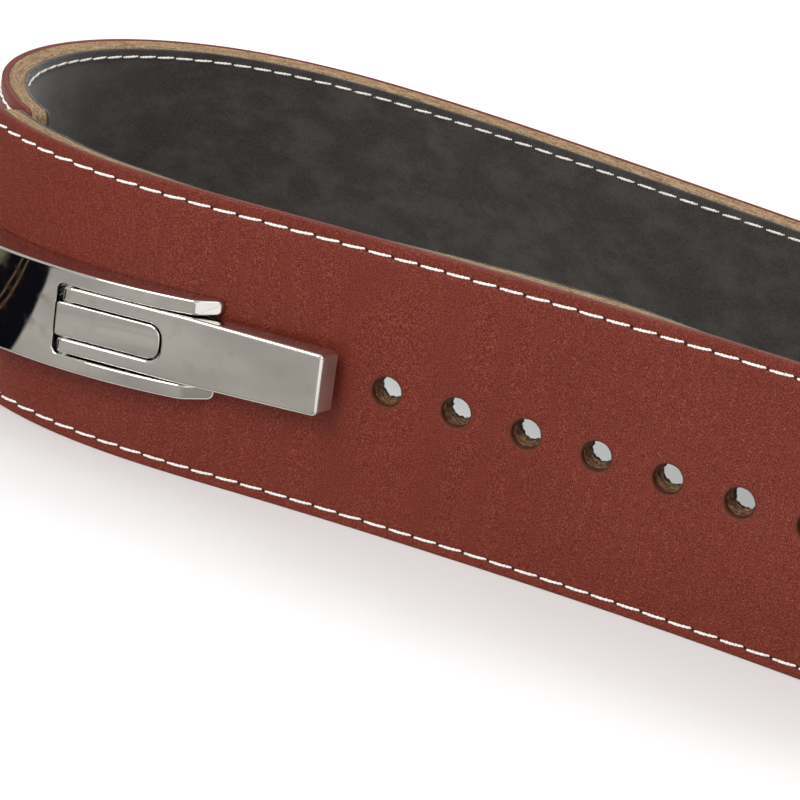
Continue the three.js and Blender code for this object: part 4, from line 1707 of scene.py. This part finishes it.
LIGHTS = (
    Light("key_light", (-0.55, -1.4, 1.1), 1.1, 22),
    Light("fill_light", (1.4, -1.0, 0.9), 1.4, 6),
    Light("top_light", (0.1, 0.5, 1.8), 1.4, 2.5),
    Light("floor_light", (0.35, 1.15, 1.3), 1.7, 20, (0.35, 1.15, 0.0)),
)


@dataclass
class Studio:
    """Floor, lights and the camera of the photograph."""

    path: StrapPath
    azimuth: float = 16.95
    elevation: float = 20.28
    roll: float = 10.56
    lens: float = 129.2
    distance: float = 957.7
    target: tuple[float, float, float] = (5.18, 0.20, 49.96)
    room_light: float = 0.62
    floor_reach: float = 12.0

    def camera(self) -> None:
        """Sets the camera where the photograph was taken from."""
        a, e, r = (math.radians(value) for value in (self.azimuth, self.elevation, self.roll))
        back = Vector((math.sin(a) * math.cos(e), -math.cos(a) * math.cos(e), math.sin(e)))
        level = Vector((math.cos(a), math.sin(a), 0))
        rise = back.cross(level)
        right = math.cos(r) * level + math.sin(r) * rise
        up = -math.sin(r) * level + math.cos(r) * rise
        hole = self.path.over(0.0, 0.0)
        aim = Vector((self.target[0] + hole[0], self.target[1] + hole[1], self.target[2])) * MM
        data = bpy.data.cameras.new("photo_camera")
        data.lens = self.lens
        data.sensor_width = 36.0
        data.clip_start = 0.01
        data.clip_end = 50
        obj = bpy.data.objects.new("photo_camera", data)
        bpy.context.scene.collection.objects.link(obj)
        turn = Matrix((right, up, back)).transposed().to_4x4()
        obj.matrix_world = Matrix.Translation(aim + back * self.distance * MM) @ turn
        bpy.context.scene.camera = obj

    @staticmethod
    def area(light: Light) -> None:
        """Hangs a soft light."""
        data = bpy.data.lights.new(light.name, "AREA")
        data.shape = "DISK"
        data.size = light.size
        data.energy = light.power
        obj = bpy.data.objects.new(light.name, data)
        bpy.context.scene.collection.objects.link(obj)
        obj.location = light.spot
        way = Vector(light.aim) - Vector(light.spot)
        obj.rotation_mode = "QUATERNION"
        obj.rotation_quaternion = way.to_track_quat("-Z", "Y")

    def floor(self) -> None:
        """Lays a plain pale floor."""
        reach = self.floor_reach
        obj = make_object("studio_floor", np.array([
            (-reach, -reach, 0), (reach, -reach, 0), (reach, reach, 0), (-reach, reach, 0),
        ]), [(0, 1, 2, 3)])
        shader = Shader("pale_floor")
        space = shader.object_place()
        tone = shader.mix(shader.noise(space, 60, 2), (0.86, 0.86, 0.865), (0.89, 0.89, 0.893))
        shader.set(Base_Color=tone, Roughness=0.45, Specular_IOR_Level=0.3)
        obj.data.materials.append(shader.material)

    def world(self) -> None:
        """Fills the room with soft light."""
        world = bpy.data.worlds.new("studio")
        world.use_nodes = True
        background = world.node_tree.nodes["Background"]
        background.inputs["Color"].default_value = (1.0, 0.99, 0.98, 1)
        background.inputs["Strength"].default_value = self.room_light
        bpy.context.scene.world = world

    def build(self) -> None:
        """Builds the studio."""
        self.camera()
        self.floor()
        # a card whose colours are painted reflections in the chrome
        PaintedReflectionCard().build()
        self.world()
        for light in LIGHTS:
            self.area(light)
        bpy.context.scene.view_settings.view_transform = "Standard"


def main() -> None:
    """Builds the belt and its studio in order."""
    logging.basicConfig(level=logging.INFO, format="%(name)s: %(message)s")
    path = StrapPath()
    place = LeverPlace(path)
    Studio(path).build()
    strap = Strap(path)
    strap.build()
    LooseFibres(strap).build()
    Stitching(path).build()
    Buckle(place).build()


if __name__ == "__main__":
    main()
